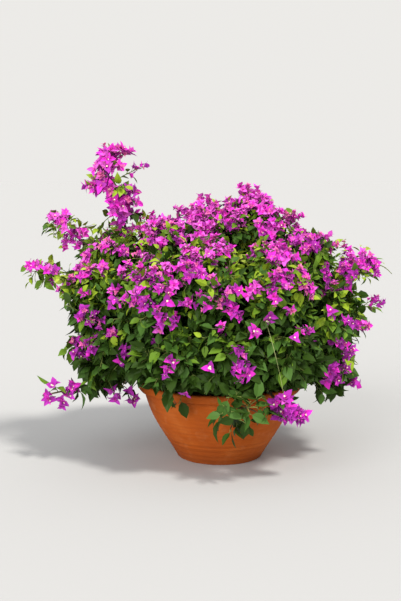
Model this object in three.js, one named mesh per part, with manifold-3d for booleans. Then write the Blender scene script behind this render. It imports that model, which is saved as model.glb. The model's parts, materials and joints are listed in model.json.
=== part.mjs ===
// A bougainvillea bush in a wide terracotta bowl, in millimetres, +Z up.
// The origin is the middle of the bowl's flat underside, and the front of the bush faces -Y.
// The bush is a short trunk, tapering boughs and masses of shoots that carry leaves and bracts.
// Each mass keeps to a space of its own: an ellipsoid, cut off where a neighbour's space is nearer.
import * as THREE from "three";
import { mergeVertices } from "three/addons/utils/BufferGeometryUtils.js";
import Module from "manifold-3d";

const wasm = await Module();
wasm.setup();

// The bowl: a flared rim band over a full belly that runs in to the foot. The two pulls are the inner
// control points, as radius and height, of the belly's curve from the foot to the neck.
const BOWL = {
  height: 234,
  rimRadius: 248,
  bandHeight: 24,
  flareRadius: 244,
  neckRadius: 230,
  neckHeight: 200,
  upperPull: [215, 128],
  lowerPull: [167, 64],
  footRadius: 131,
  footEdge: 4,
  wall: 15,
  rimWall: 22,
  floor: 18,
  floorRadius: 120,
  lipRound: 5,
  facets: 30,
  bellySteps: 3,
};
const CLEARANCE = 0.3;
const SOIL = { drop: 28, fall: 7, flatRadius: 70 };
const SOIL_TOP = BOWL.height - SOIL.drop;

// The trunk leans a little and flares out at the soil.
const TRUNK = {
  height: 105,
  lean: 14,
  flareRadius: 44,
  waistRadius: 29,
  topRadius: 24,
  flareFade: 0.14,
  lobes: 5,
  lobeDepth: 0.12,
  endRound: 0.8,
  sides: 10,
  steps: 6,
};
const BOUGH = {
  baseRadius: 5,
  radiusPerLength: 0.007,
  tipRadius: 3.4,
  rise: 0.5,
  sides: 5,
  stepLength: 110,
  sampleLength: 8,
  intoCore: 0.72,
  intoOpen: 0.9,
};
const TWIG = { stemTipRadius: 2, stemSides: 4, baseRadius: 2, tipRadius: 1.2, sides: 3 };

const SHOOT = {
  directions: 120,
  shortest: 30,
  shrinks: [1, 0.86, 0.72, 0.6],
  drawBack: 6,
  mostBack: 0.24,
  apart: 0.56,
  faceUp: 0.2,
  sway: 0.6,
  coreStart: 0.66,
  seamShare: 0.85,
  inwardLimit: 0.35,
  bloomOnTop: 0.25,
};
// The stem on which the twigs of an open mass stand.
const STEM = { reach: 0.75, leavesBefore: 0.15, ends: 0.06 };
// The core of a dense mass, as shares: how near it comes to a seam, and how rough it is.
const CORE = { seam: 0.96, rough: 0.26, detail: 1 };
// Leaves and bracts: reach in millimetres, and everything else as a share of it or of a turn.
const LEAF = {
  reach: 74,
  shortest: 0.82,
  lowest: 0,
  highest: 0.4,
  halfWidth: 0.3,
  widestAt: 0.42,
  valley: 0.12,
  fold: 0.05,
  thickness: 0.1,
  perWhorl: 3,
  corners: 4,
};
const BRACT = {
  reach: 55,
  perHead: 5,
  shortest: 0.9,
  valley: 0.36,
  valleyLift: 0.12,
  spread: 0.95,
  spreadLift: 0.1,
  raised: 0.74,
  raisedLift: 0.62,
  throat: 0.14,
  root: 0.22,
};
const SPACE_MARGIN = 1;
const LIMB_MARGIN = 2.5;
const UP = new THREE.Vector3(0, 0, 1);
const Y_AXIS = new THREE.Vector3(0, 1, 0);
const GOLDEN_ANGLE = Math.PI * (3 - Math.sqrt(5));

const FINISH = {
  terracotta: { color: 0xb5602f, roughness: 0.85 },
  soil: { color: 0x3a2a20, roughness: 1 },
  bark: { color: 0x6b5140, roughness: 0.9 },
  leaves: { color: 0x4d7a2c, roughness: 0.7 },
  bracts: { color: 0xc32fc0, roughness: 0.8 },
};
// A mass with more blossom than this counts as one of blossom.
const MOSTLY_BLOSSOM = 0.5;

// Each mass: its middle and half sizes, where its bough starts, how many shoots it has, how large their
// ends are, the share of them that end in bracts, and the size of its inner core, none where it is open.
// A bough starts at a share of the trunk's length, or of the length of the bough of another mass.
const MASSES = [
  {
    name: "crown_centre", at: [-31, 19, 620], half: [168, 177, 172], from: 0.97,
    shoots: 10, size: 1, bloom: 0.8, core: 0.72,
  },
  {
    name: "crown_right", at: [95, 8, 663], half: [158, 163, 172], from: ["crown_centre", 0.3],
    shoots: 10, size: 1, bloom: 0.8, core: 0.72,
  },
  {
    name: "front_centre", at: [-28, -165, 520], half: [200, 198, 176], from: 0.78,
    shoots: 11, size: 1, bloom: 0.6, core: 0.72,
  },
  {
    name: "back_centre", at: [11, 195, 539], half: [212, 205, 182], from: 0.74,
    shoots: 8, size: 1, bloom: 0.7, core: 0.72,
  },
  {
    name: "right_shoulder", at: [224, 0, 588], half: [158, 163, 139], from: 0.64,
    shoots: 9, size: 1, bloom: 0.85, core: 0.72,
  },
  {
    name: "left_shoulder", at: [-309, 18, 590], half: [158, 158, 139], from: 0.72,
    shoots: 9, size: 1, bloom: 0.4, core: 0.72,
  },
  {
    name: "crown_left", at: [-150, 16, 596], half: [172, 182, 162], from: ["left_shoulder", 0.4],
    shoots: 10, size: 1, bloom: 0.7, core: 0.72,
  },
  {
    name: "front_right", at: [122, -154, 512], half: [196, 198, 172], from: 0.7,
    shoots: 11, size: 1, bloom: 0.7, core: 0.72,
  },
  {
    name: "front_left", at: [-159, -143, 488], half: [196, 205, 178], from: 0.7,
    shoots: 11, size: 1, bloom: 0.55, core: 0.72,
  },
  {
    name: "back_right", at: [185, 164, 514], half: [201, 198, 176], from: 0.66,
    shoots: 8, size: 1, bloom: 0.6, core: 0.72,
  },
  {
    name: "back_left", at: [-175, 171, 497], half: [210, 201, 184], from: 0.66,
    shoots: 8, size: 1, bloom: 0.6, core: 0.72,
  },
  {
    name: "left_flank", at: [-331, -26, 474], half: [182, 198, 172], from: 0.56,
    shoots: 8, size: 1, bloom: 0.4, core: 0.72,
  },
  {
    name: "right_flank", at: [310, -8, 430], half: [178, 191, 148], from: 0.56,
    shoots: 9, size: 1, bloom: 0.25, core: 0.72,
  },
  {
    name: "front_low_left", at: [-122, -196, 350], half: [178, 172, 150], from: 0.4,
    shoots: 11, size: 1, bloom: 0.12, core: 0.72,
  },
  {
    name: "front_low_right", at: [152, -184, 348], half: [170, 170, 150], from: 0.4,
    shoots: 11, size: 1, bloom: 0.1, core: 0.72,
  },
  {
    name: "back_low_left", at: [-156, 190, 350], half: [196, 186, 150], from: 0.4,
    shoots: 8, size: 1, bloom: 0.12, core: 0.72,
  },
  {
    name: "back_low_right", at: [164, 192, 348], half: [194, 186, 150], from: 0.4,
    shoots: 8, size: 1, bloom: 0.12, core: 0.72,
  },
  {
    name: "front_low_centre", at: [20, -212, 364], half: [168, 168, 156], from: 0.48,
    shoots: 11, size: 1, bloom: 0.12, core: 0.72,
  },
  {
    name: "back_low_centre", at: [1, 236, 362], half: [178, 168, 152], from: 0.48,
    shoots: 8, size: 1, bloom: 0.12, core: 0.72,
  },
  {
    name: "left_skirt", at: [-274, -50, 344], half: [196, 184, 196], from: 0.34,
    shoots: 8, size: 1, bloom: 0.15, core: 0.72,
  },
  {
    name: "right_low", at: [266, -48, 324], half: [166, 166, 146], from: 0.34,
    shoots: 9, size: 1, bloom: 0.2, core: 0.72,
  },
  {
    name: "spike", at: [-314, -20, 798], half: [88, 82, 160], from: ["left_shoulder", 0.8],
    shoots: 13, size: 0.78, bloom: 0.8, core: 0,
  },
  {
    name: "left_arm_upper", at: [-462, -20, 694], half: [98, 84, 72], from: ["left_shoulder", 0.92],
    shoots: 8, size: 0.75, bloom: 0.75, core: 0,
  },
  {
    name: "left_arm_tip", at: [-516, -30, 567], half: [96, 74, 64], from: ["left_flank", 0.8],
    shoots: 8, size: 0.75, bloom: 0.8, core: 0,
  },
  {
    name: "right_arm", at: [392, -10, 562], half: [108, 98, 98], from: ["right_shoulder", 0.8],
    shoots: 10, size: 0.8, bloom: 0.85, core: 0,
  },
  {
    name: "left_trail", at: [-466, -75, 214], half: [92, 72, 64], from: ["left_skirt", 0.75],
    shoots: 7, size: 0.75, bloom: 0.7, core: 0,
  },
  {
    name: "front_trail", at: [50, -312, 218], half: [106, 62, 96], from: ["front_low_centre", 0.6],
    shoots: 9, size: 0.75, bloom: 0, core: 0.5,
  },
  {
    name: "front_bloom", at: [174, -262, 208], half: [84, 66, 60], from: ["front_low_right", 0.7],
    shoots: 8, size: 0.75, bloom: 0.85, core: 0,
  },
];

// A seeded run of numbers from 0 to 1, the same each time.
function seededRandom(seed) {
  let state = seed >>> 0;
  return () => {
    state = (state + 0x6d2b79f5) >>> 0;
    let mixed = Math.imul(state ^ (state >>> 15), state | 1);
    mixed ^= mixed + Math.imul(mixed ^ (mixed >>> 7), mixed | 61);
    return ((mixed ^ (mixed >>> 14)) >>> 0) / 4294967296;
  };
}

// A closed geometry as a solid that can be joined and cut.
function toSolid(geometry) {
  geometry.deleteAttribute("normal");
  geometry.deleteAttribute("uv");
  const merged = mergeVertices(geometry);
  const mesh = new wasm.Mesh({
    numProp: 3,
    vertProperties: merged.getAttribute("position").array,
    triVerts: new Uint32Array(merged.index.array),
  });
  return new wasm.Manifold(mesh);
}

// A solid back as a geometry.
function toGeometry(solid) {
  const mesh = solid.getMesh();
  const geometry = new THREE.BufferGeometry();
  geometry.setAttribute("position", new THREE.BufferAttribute(mesh.vertProperties, mesh.numProp));
  geometry.setIndex(new THREE.BufferAttribute(mesh.triVerts, 1));
  geometry.computeVertexNormals();
  return geometry;
}

// The largest piece of a solid, without the loose scraps and sealed hollows that joining can leave.
function largestPiece(solid) {
  const pieces = solid.decompose();
  return pieces.reduce((best, piece) => (piece.volume() > best.volume() ? piece : best));
}

// A closed round taper bent along a curve. radiusAt gives its radius by share of length and angle round it.
function bentTaper(curve, radiusAt, sides, steps) {
  const geometry = new THREE.CylinderGeometry(1, 1, 1, sides, steps);
  const frames = curve.computeFrenetFrames(steps, false);
  const position = geometry.getAttribute("position");
  for (let i = 0; i < position.count; i++) {
    const along = THREE.MathUtils.clamp(position.getY(i) + 0.5, 0, 1);
    const ring = Math.round(along * steps);
    const onAxis = Math.hypot(position.getX(i), position.getZ(i)) < 1e-6;
    const angle = Math.atan2(position.getX(i), position.getZ(i));
    const radius = onAxis ? 0 : radiusAt(along, angle);
    const place = curve.getPointAt(along);
    place.addScaledVector(frames.normals[ring], radius * Math.sin(angle));
    place.addScaledVector(frames.binormals[ring], -radius * Math.cos(angle));
    position.setXYZ(i, place.x, place.y, place.z);
  }
  return toSolid(geometry);
}

// The belly's curve from foot to neck, moved inwards by an inset, or outwards by one below nought.
function bellyPoints(inset) {
  const belly = new THREE.CubicBezierCurve(
    new THREE.Vector2(BOWL.footRadius, BOWL.footEdge),
    new THREE.Vector2(...BOWL.lowerPull),
    new THREE.Vector2(...BOWL.upperPull),
    new THREE.Vector2(BOWL.neckRadius, BOWL.neckHeight),
  );
  return belly.getPoints(BOWL.bellySteps).map((point) => new THREE.Vector2(point.x - inset, point.y));
}

// A solid turned about the vertical axis from its outline, given from bottom to top.
function turned(outline) {
  return toSolid(new THREE.LatheGeometry(outline, BOWL.facets).rotateX(Math.PI / 2));
}

// The bowl's outline goes from the middle of its underside out, up to the lip and back down inside.
function makeBowl() {
  const bandStart = BOWL.height - BOWL.bandHeight;
  const mouthRadius = BOWL.rimRadius - BOWL.rimWall;
  const inside = bellyPoints(BOWL.wall).filter((point) => point.y > BOWL.floor);
  return turned([
    new THREE.Vector2(0, 0),
    new THREE.Vector2(BOWL.footRadius - BOWL.footEdge, 0),
    ...bellyPoints(0),
    new THREE.Vector2(BOWL.flareRadius, bandStart),
    new THREE.Vector2(BOWL.rimRadius, bandStart + BOWL.lipRound),
    new THREE.Vector2(BOWL.rimRadius, BOWL.height - BOWL.lipRound),
    new THREE.Vector2(BOWL.rimRadius - BOWL.lipRound, BOWL.height),
    new THREE.Vector2(mouthRadius + BOWL.lipRound, BOWL.height),
    new THREE.Vector2(mouthRadius, BOWL.height - BOWL.lipRound),
    ...inside.reverse(),
    new THREE.Vector2(BOWL.floorRadius, BOWL.floor),
    new THREE.Vector2(0, BOWL.floor),
  ]);
}

// The room the filled bowl takes up, a little more than its outside, from which the crown keeps clear.
function makeBowlRoom() {
  const room = 2 * CLEARANCE;
  return turned([
    new THREE.Vector2(0, 0),
    new THREE.Vector2(BOWL.footRadius, 0),
    ...bellyPoints(-room),
    new THREE.Vector2(BOWL.rimRadius + room, BOWL.neckHeight),
    new THREE.Vector2(BOWL.rimRadius + room, BOWL.height + CLEARANCE),
    new THREE.Vector2(0, BOWL.height + CLEARANCE),
  ]);
}

// The soil fills the bowl up to a little below the lip, and falls slightly from the trunk to the wall.
function makeSoil() {
  const edgeHeight = SOIL_TOP - SOIL.fall;
  const wall = bellyPoints(BOWL.wall + CLEARANCE).filter((point) => point.y > BOWL.floor);
  const covered = wall.filter((point) => point.y < edgeHeight);
  const below = covered[covered.length - 1];
  const above = wall[covered.length];
  const share = (edgeHeight - below.y) / (above.y - below.y);
  return turned([
    new THREE.Vector2(0, BOWL.floor + CLEARANCE),
    new THREE.Vector2(BOWL.floorRadius - 2 * CLEARANCE, BOWL.floor + CLEARANCE),
    ...covered,
    below.clone().lerp(above, share),
    new THREE.Vector2(SOIL.flatRadius, SOIL_TOP),
    new THREE.Vector2(0, SOIL_TOP),
  ]);
}

// The trunk's middle line: upright where it leaves the soil, leaning towards its top.
const TRUNK_LINE = new THREE.QuadraticBezierCurve3(
  new THREE.Vector3(0, 0, SOIL_TOP + CLEARANCE),
  new THREE.Vector3(0, 0, SOIL_TOP + TRUNK.height / 2),
  new THREE.Vector3(TRUNK.lean, TRUNK.lean / 2, SOIL_TOP + TRUNK.height),
);

// The trunk flares into lobes at the soil and rounds off at its fork. It is made bigger by grow.
function makeTrunk(grow) {
  const radiusAt = (along, angle) => {
    const flare = Math.exp(-along / TRUNK.flareFade);
    const lobes = 1 + TRUNK.lobeDepth * flare * Math.cos(TRUNK.lobes * angle);
    const shaft = THREE.MathUtils.lerp(TRUNK.waistRadius, TRUNK.topRadius, along);
    const round = along < 1 ? 1 : TRUNK.endRound;
    return grow + round * (shaft + (TRUNK.flareRadius - TRUNK.waistRadius) * flare) * lobes;
  };
  return bentTaper(TRUNK_LINE, radiusAt, TRUNK.sides, TRUNK.steps);
}

// A mass's space: its own ellipsoid, on its own side of the plane that parts it from each other mass.
function makeSpace(mass) {
  const middle = new THREE.Vector3(...mass.at);
  const half = new THREE.Vector3(...mass.half);
  const weight = (other) => ((other.half[0] + other.half[1] + other.half[2]) / 3) ** 2;
  const planes = MASSES.filter((other) => other !== mass).map((other) => {
    const normal = new THREE.Vector3(...other.at).sub(middle);
    const apart = normal.length();
    const distance = (apart * apart + weight(mass) - weight(other)) / (2 * apart);
    return { normal: normal.normalize(), distance };
  });
  const holds = (point) => {
    const offset = point.clone().sub(middle);
    const inEllipsoid = offset.clone().divide(half).lengthSq() <= 1;
    return inEllipsoid && planes.every((plane) => offset.dot(plane.normal) < plane.distance - SPACE_MARGIN);
  };
  // How far the ellipsoid goes from its middle in a direction, and how far the space does.
  const outside = (direction) => 1 / direction.clone().divide(half).length();
  const reach = (direction) => {
    const walls = planes
      .map((plane) => (plane.distance - SPACE_MARGIN) / direction.dot(plane.normal))
      .filter((distance) => distance > 0);
    return Math.min(outside(direction), ...walls);
  };
  return { middle, half, holds, outside, reach };
}

// The curve and sizes of the bough that carries a mass, which starts at a point on its parent's line.
function planBough(mass, space, start) {
  const towards = space.middle.clone().sub(start).normalize();
  const enters = space.reach(towards.clone().negate()) * (mass.core ? BOUGH.intoCore : BOUGH.intoOpen);
  const end = space.middle.clone().addScaledVector(towards, -enters);
  const length = end.distanceTo(start);
  const outwards = towards.clone().addScaledVector(UP, BOUGH.rise).normalize();
  const curve = new THREE.CubicBezierCurve3(
    start,
    start.clone().addScaledVector(outwards, length / 3),
    end.clone().addScaledVector(towards, -length / 3),
    end,
  );
  const baseRadius = BOUGH.baseRadius + BOUGH.radiusPerLength * length;
  const steps = Math.max(2, Math.round(length / BOUGH.stepLength));
  const radiusAt = (along) => THREE.MathUtils.lerp(baseRadius, BOUGH.tipRadius, along);
  return { curve, radiusAt, steps, length, end, towards };
}

function boughSolid(bough, grow) {
  return bentTaper(bough.curve, (along) => bough.radiusAt(along) + grow, BOUGH.sides, bough.steps);
}

// Every bough, from the trunk first and then from the boughs that carry others.
function planBoughs(spaces) {
  const boughs = new Map();
  for (const mass of MASSES) {
    const [parent, share] = Array.isArray(mass.from) ? mass.from : [null, mass.from];
    const line = parent ? boughs.get(parent).curve : TRUNK_LINE;
    const start = line.getPointAt(share);
    boughs.set(mass.name, planBough(mass, spaces.get(mass.name), start));
  }
  return boughs;
}

// Points along every limb with the radius there, for keeping twigs and leaves off the wood.
function limbSamples(boughs) {
  const samples = [];
  for (const bough of boughs.values()) {
    const count = Math.ceil(bough.length / BOUGH.sampleLength);
    for (let i = 0; i <= count; i++) {
      samples.push({ point: bough.curve.getPointAt(i / count), radius: bough.radiusAt(i / count) });
    }
  }
  return samples;
}

// True where a point is in the bowl's wall or under its lip inside, with a little room round it.
function inBowl(point) {
  const fromAxis = Math.hypot(point.x, point.y);
  return point.z < BOWL.height + LIMB_MARGIN && fromAxis < BOWL.rimRadius + LIMB_MARGIN;
}

// A rosette in the plane across an axis: a flat cone whose rim points are placed one by one.
// rimPoint gives the share of a turn, the radius and the lift of each.
function rosette(rimCount, rimPoint, top, bottom) {
  const rim = Array.from({ length: rimCount }, (_, index) => rimPoint(index));
  const geometry = new THREE.ConeGeometry(1, 1, rimCount);
  const position = geometry.getAttribute("position");
  for (let i = 0; i < position.count; i++) {
    const onAxis = Math.hypot(position.getX(i), position.getZ(i)) < 0.5;
    if (onAxis) {
      position.setXYZ(i, 0, position.getY(i) > 0 ? top : bottom, 0);
      continue;
    }
    const turn = Math.atan2(position.getX(i), position.getZ(i)) / (2 * Math.PI);
    const index = (Math.round(turn * rimCount) + rimCount) % rimCount;
    const angle = 2 * Math.PI * rim[index].turn;
    const radius = rim[index].radius;
    position.setXYZ(i, radius * Math.sin(angle), rim[index].lift, radius * Math.cos(angle));
  }
  return geometry;
}

// A whorl of leaves round a shoot: each leaf has its tip, its two widest points and a notch beside it.
function leafWhorl(reach, random) {
  const leaves = LEAF.perWhorl;
  const widestTurn = Math.atan2(LEAF.halfWidth, LEAF.widestAt) / (2 * Math.PI);
  const widestRadius = reach * Math.hypot(LEAF.halfWidth, LEAF.widestAt);
  const tips = Array.from({ length: leaves }, () => ({
    radius: reach * THREE.MathUtils.lerp(LEAF.shortest, 1, random()),
    lift: reach * THREE.MathUtils.lerp(LEAF.lowest, LEAF.highest, random()),
  }));
  const rimPoint = (index) => {
    const leaf = Math.floor(index / LEAF.corners);
    const corner = index % LEAF.corners;
    const tip = tips[leaf];
    const next = tips[(leaf + 1) % leaves];
    const turn = leaf / leaves;
    if (corner === 0) return { turn, radius: tip.radius, lift: tip.lift };
    if (corner === 2) return { turn: turn + 1 / (2 * leaves), radius: reach * LEAF.valley, lift: 0 };
    const side = corner === 1 ? widestTurn : 1 / leaves - widestTurn;
    const lift = (corner === 1 ? tip.lift : next.lift) / 2 + reach * LEAF.fold;
    return { turn: turn + side, radius: widestRadius, lift };
  };
  const half = (reach * LEAF.thickness) / 2;
  return rosette(leaves * LEAF.corners, rimPoint, half, -half);
}

// A head of bracts: pointed, alternately raised and spread, round a shallow throat.
function bractHead(reach, random) {
  const count = BRACT.perHead * 2;
  const rimPoint = (index) => {
    const turn = index / count;
    if (index % 2) return { turn, radius: reach * BRACT.valley, lift: reach * BRACT.valleyLift };
    const raised = index % 4 === 0;
    const radius = reach * (raised ? BRACT.raised : BRACT.spread);
    const lift = reach * (raised ? BRACT.raisedLift : BRACT.spreadLift);
    return { turn, radius: radius * THREE.MathUtils.lerp(BRACT.shortest, 1, random()), lift };
  };
  return rosette(count, rimPoint, reach * BRACT.throat, -reach * BRACT.root);
}

// What a shoot can end in: how to make it, how far it spreads, how far it stands back from the edge of
// the space as a share of that, and where its twig comes in beside the middle, inside one of its faces.
const HEAD = {
  make: bractHead,
  reach: BRACT.reach,
  standBack: 0.6,
  seat: new THREE.Vector3().setFromCylindricalCoords(0.16, Math.PI / (2 * BRACT.perHead), 0),
};
const WHORL = {
  make: leafWhorl,
  reach: LEAF.reach,
  standBack: 0.34,
  seat: new THREE.Vector3().setFromCylindricalCoords(0.13, Math.atan2(LEAF.halfWidth, LEAF.widestAt) / 2, 0),
};

// The corners of a rosette and the points halfway to its middle, where it could hit something.
function testPoints(geometry, middle) {
  const position = geometry.getAttribute("position");
  const corners = Array.from({ length: position.count }, (_, index) =>
    new THREE.Vector3().fromBufferAttribute(position, index));
  return corners.concat(corners.map((corner) => corner.clone().lerp(middle, 0.5)));
}

// Sets a rosette out along a shoot, drawn back and made smaller until it fits its space, misses every
// limb and stands apart from the rosettes already there. It gives null where none fits.
function fitRosette(kind, scale, from, edge, context) {
  const direction = edge.clone().sub(from);
  const length = direction.length();
  direction.normalize();
  const axis = direction.clone().addScaledVector(UP, SHOOT.faceUp);
  axis.x += SHOOT.sway * (context.random() - 0.5);
  axis.y += SHOOT.sway * (context.random() - 0.5);
  axis.normalize();
  const turnTo = new THREE.Quaternion().setFromUnitVectors(Y_AXIS, axis);
  const spin = new THREE.Quaternion().setFromAxisAngle(Y_AXIS, 2 * Math.PI * context.random());
  const turned = turnTo.clone().multiply(spin);
  const local = kind.make(1, context.random).applyQuaternion(turned);
  for (const shrink of SHOOT.shrinks) {
    const size = kind.reach * scale * shrink;
    const farthest = length - kind.standBack * size;
    for (let back = 0; back < SHOOT.mostBack * length; back += SHOOT.drawBack) {
      const middle = from.clone().addScaledVector(direction, farthest - back);
      const apart = context.placed.every((other) =>
        middle.distanceTo(other.middle) > SHOOT.apart * (size + other.size));
      if (!apart) continue;
      const geometry = local.clone().scale(size, size, size).translate(middle.x, middle.y, middle.z);
      if (testPoints(geometry, middle).every(context.isFree)) {
        const seat = kind.seat.clone().multiplyScalar(size).applyQuaternion(turned);
        return { geometry, middle, size, seat: middle.clone().add(seat) };
      }
    }
  }
  return null;
}

// A twig from a place on the stem into the middle of a rosette.
function twigSolid(from, rosetteAt) {
  const radiusAt = (along) => THREE.MathUtils.lerp(TWIG.baseRadius, TWIG.tipRadius, along);
  return bentTaper(new THREE.LineCurve3(from, rosetteAt.seat), radiusAt, TWIG.sides, 1);
}

// The inner core of a dense mass: a rough ball that keeps to the mass's space.
function coreSolid(mass, space, random) {
  const geometry = new THREE.IcosahedronGeometry(1, CORE.detail);
  const position = geometry.getAttribute("position");
  const sizes = new Map();
  for (let i = 0; i < position.count; i++) {
    const corner = new THREE.Vector3().fromBufferAttribute(position, i);
    const key = corner.toArray().map((value) => value.toFixed(3)).join();
    if (!sizes.has(key)) sizes.set(key, THREE.MathUtils.lerp(1 - CORE.rough, 1, random()));
    const direction = corner.multiply(space.half).normalize();
    const toSeam = CORE.seam * space.reach(direction);
    const toSurface = mass.core * space.outside(direction);
    const size = sizes.get(key) * Math.min(toSeam, toSurface);
    const place = space.middle.clone().addScaledVector(direction, size);
    position.setXYZ(i, place.x, place.y, place.z);
  }
  return toSolid(geometry);
}

// Directions over the open side of a mass's space, each the farthest from all that come before it.
// A dense mass has none at its seams with neighbours, nor on the side where its bough comes in.
function shootDirections(mass, space, bough, seed) {
  const all = Array.from({ length: SHOOT.directions }, (_, index) => {
    const height = 1 - (2 * index + 1) / SHOOT.directions;
    const across = Math.sqrt(1 - height * height);
    const turn = GOLDEN_ANGLE * index + seed;
    return new THREE.Vector3(across * Math.cos(turn), across * Math.sin(turn), height);
  });
  const left = all.filter((direction) => {
    const reach = space.reach(direction);
    const atSeam = reach < SHOOT.seamShare * space.outside(direction);
    const facesIn = direction.dot(bough.towards) < -SHOOT.inwardLimit;
    return reach > SHOOT.shortest && !(mass.core && (atSeam || facesIn));
  });
  const ordered = left.splice(0, 1);
  while (left.length > 0) {
    const gaps = left.map((direction) => Math.min(...ordered.map((other) => direction.distanceTo(other))));
    ordered.push(...left.splice(gaps.indexOf(Math.max(...gaps)), 1));
  }
  return ordered;
}

// Where on a stem the twig to a place leaves it: a little before the nearest point.
function twigStart(stem, place) {
  const along = stem.v2.clone().sub(stem.v1);
  const nearest = place.clone().sub(stem.v1).dot(along) / along.lengthSq();
  return stem.getPointAt(THREE.MathUtils.clamp(nearest - STEM.leavesBefore, STEM.ends, 1 - STEM.ends));
}

// A mass: a stem on from the bough's tip, an inner core where it is dense, and shoots spread evenly over
// its open side, each a twig that ends in a head of bracts or a whorl of leaves.
function makeMass(mass, space, bough, samples, seed) {
  const random = seededRandom(seed);
  const isClear = (point) => samples.every((s) => point.distanceTo(s.point) > s.radius + LIMB_MARGIN);
  const isFree = (point) => space.holds(point) && !inBowl(point) && isClear(point);
  const context = { random, isFree, placed: [] };
  const start = bough.end.clone().addScaledVector(bough.towards, CLEARANCE);
  const stemReach = mass.core ? 0 : STEM.reach * space.reach(bough.towards);
  const stem = new THREE.LineCurve3(start, space.middle.clone().addScaledVector(bough.towards, stemReach));
  const stemRadius = (along) => THREE.MathUtils.lerp(BOUGH.tipRadius, TWIG.stemTipRadius, along);
  let solid = bentTaper(stem, stemRadius, TWIG.stemSides, 1);
  if (mass.core) solid = solid.add(coreSolid(mass, space, random));

  for (const direction of shootDirections(mass, space, bough, seed)) {
    if (context.placed.length >= mass.shoots) break;
    const edge = space.middle.clone().addScaledVector(direction, space.reach(direction));
    const inCore = space.middle.clone().lerp(edge, SHOOT.coreStart * mass.core);
    const from = mass.core ? inCore : twigStart(stem, edge);
    const blooms = random() < mass.bloom + SHOOT.bloomOnTop * direction.z;
    const rosetteAt = fitRosette(blooms ? HEAD : WHORL, mass.size, from, edge, context);
    if (!rosetteAt) continue;
    context.placed.push(rosetteAt);
    solid = solid.add(twigSolid(from, rosetteAt)).add(toSolid(rosetteAt.geometry));
  }
  return solid;
}

function addPart(group, name, solid, finish) {
  const mesh = new THREE.Mesh(toGeometry(solid), new THREE.MeshStandardMaterial({ ...finish, metalness: 0 }));
  mesh.name = name;
  group.add(mesh);
}

const bush = new THREE.Group();
addPart(bush, "pot", makeBowl(), FINISH.terracotta);
addPart(bush, "soil", makeSoil(), FINISH.soil);
addPart(bush, "trunk", makeTrunk(0), FINISH.bark);

const spaces = new Map(MASSES.map((mass) => [mass.name, makeSpace(mass)]));
const boughs = planBoughs(spaces);
const samples = limbSamples(boughs);
const thickTrunk = makeTrunk(CLEARANCE);
const thickBoughs = new Map([...boughs].map(([name, bough]) => [name, boughSolid(bough, CLEARANCE)]));

for (const mass of MASSES) {
  const bough = boughs.get(mass.name);
  const parent = Array.isArray(mass.from) ? thickBoughs.get(mass.from[0]) : thickTrunk;
  const limb = largestPiece(boughSolid(bough, 0).subtract(parent));
  addPart(bush, "bough_" + mass.name, limb, FINISH.bark);
}

const bowlRoom = makeBowlRoom();
MASSES.forEach((mass, index) => {
  const made = makeMass(mass, spaces.get(mass.name), boughs.get(mass.name), samples, index + 1);
  const clearOfBowl = made.subtract(bowlRoom);
  const cut = [...thickBoughs.values()].reduce((solid, limb) => solid.subtract(limb), clearOfBowl);
  const blossom = mass.bloom > MOSTLY_BLOSSOM;
  const name = (blossom ? "blossom_" : "foliage_") + mass.name;
  addPart(bush, name, largestPiece(cut), blossom ? FINISH.bracts : FINISH.leaves);
});

export default bush;
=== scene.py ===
"""A bougainvillea bush in a wide terracotta bowl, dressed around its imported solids.

Metres, +Z up. The origin is the middle of the bowl's flat underside, and the front faces -Y.
The wood follows the lines of the solids. Every mass of the crown is grown again by the same rule as its
solid, carried on to finer twigs: a stem runs on from the bough's tip, limbs branch from the stem, shoots
branch from the limbs, and each shoot carries leaves and ends in a leafy tip or in a truss of flowers.
"""

import json
import math
from collections import namedtuple

import bpy
import numpy as np
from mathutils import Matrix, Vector, noise

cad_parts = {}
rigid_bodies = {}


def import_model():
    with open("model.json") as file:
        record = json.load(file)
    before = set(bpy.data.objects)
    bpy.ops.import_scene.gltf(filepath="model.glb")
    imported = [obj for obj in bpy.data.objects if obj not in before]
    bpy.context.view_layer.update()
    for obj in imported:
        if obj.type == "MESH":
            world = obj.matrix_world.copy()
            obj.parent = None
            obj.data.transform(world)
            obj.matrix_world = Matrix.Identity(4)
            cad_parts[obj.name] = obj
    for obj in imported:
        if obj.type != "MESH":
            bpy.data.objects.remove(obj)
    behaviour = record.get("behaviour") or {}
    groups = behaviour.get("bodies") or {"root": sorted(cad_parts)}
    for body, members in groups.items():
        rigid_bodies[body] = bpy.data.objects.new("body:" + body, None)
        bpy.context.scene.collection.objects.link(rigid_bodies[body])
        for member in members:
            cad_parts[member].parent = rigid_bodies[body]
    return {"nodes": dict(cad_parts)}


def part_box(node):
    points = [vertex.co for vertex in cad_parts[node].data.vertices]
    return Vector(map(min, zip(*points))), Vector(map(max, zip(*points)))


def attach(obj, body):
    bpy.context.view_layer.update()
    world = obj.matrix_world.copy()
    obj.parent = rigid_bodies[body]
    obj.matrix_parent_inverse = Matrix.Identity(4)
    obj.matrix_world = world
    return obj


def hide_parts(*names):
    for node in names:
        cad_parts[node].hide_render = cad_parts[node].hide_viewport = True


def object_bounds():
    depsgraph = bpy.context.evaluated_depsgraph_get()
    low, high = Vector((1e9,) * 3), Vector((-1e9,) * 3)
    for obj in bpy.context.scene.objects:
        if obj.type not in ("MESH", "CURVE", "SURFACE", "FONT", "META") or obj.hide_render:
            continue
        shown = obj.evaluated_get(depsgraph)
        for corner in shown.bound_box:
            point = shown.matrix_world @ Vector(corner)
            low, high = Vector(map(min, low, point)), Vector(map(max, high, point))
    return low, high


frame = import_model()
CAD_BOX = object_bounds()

# The way up, a number for next to nothing, and a distance beyond everything in the scene.
UP = np.array((0.0, 0.0, 1.0))
TINY = 1e-9
FAR = 100

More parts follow.
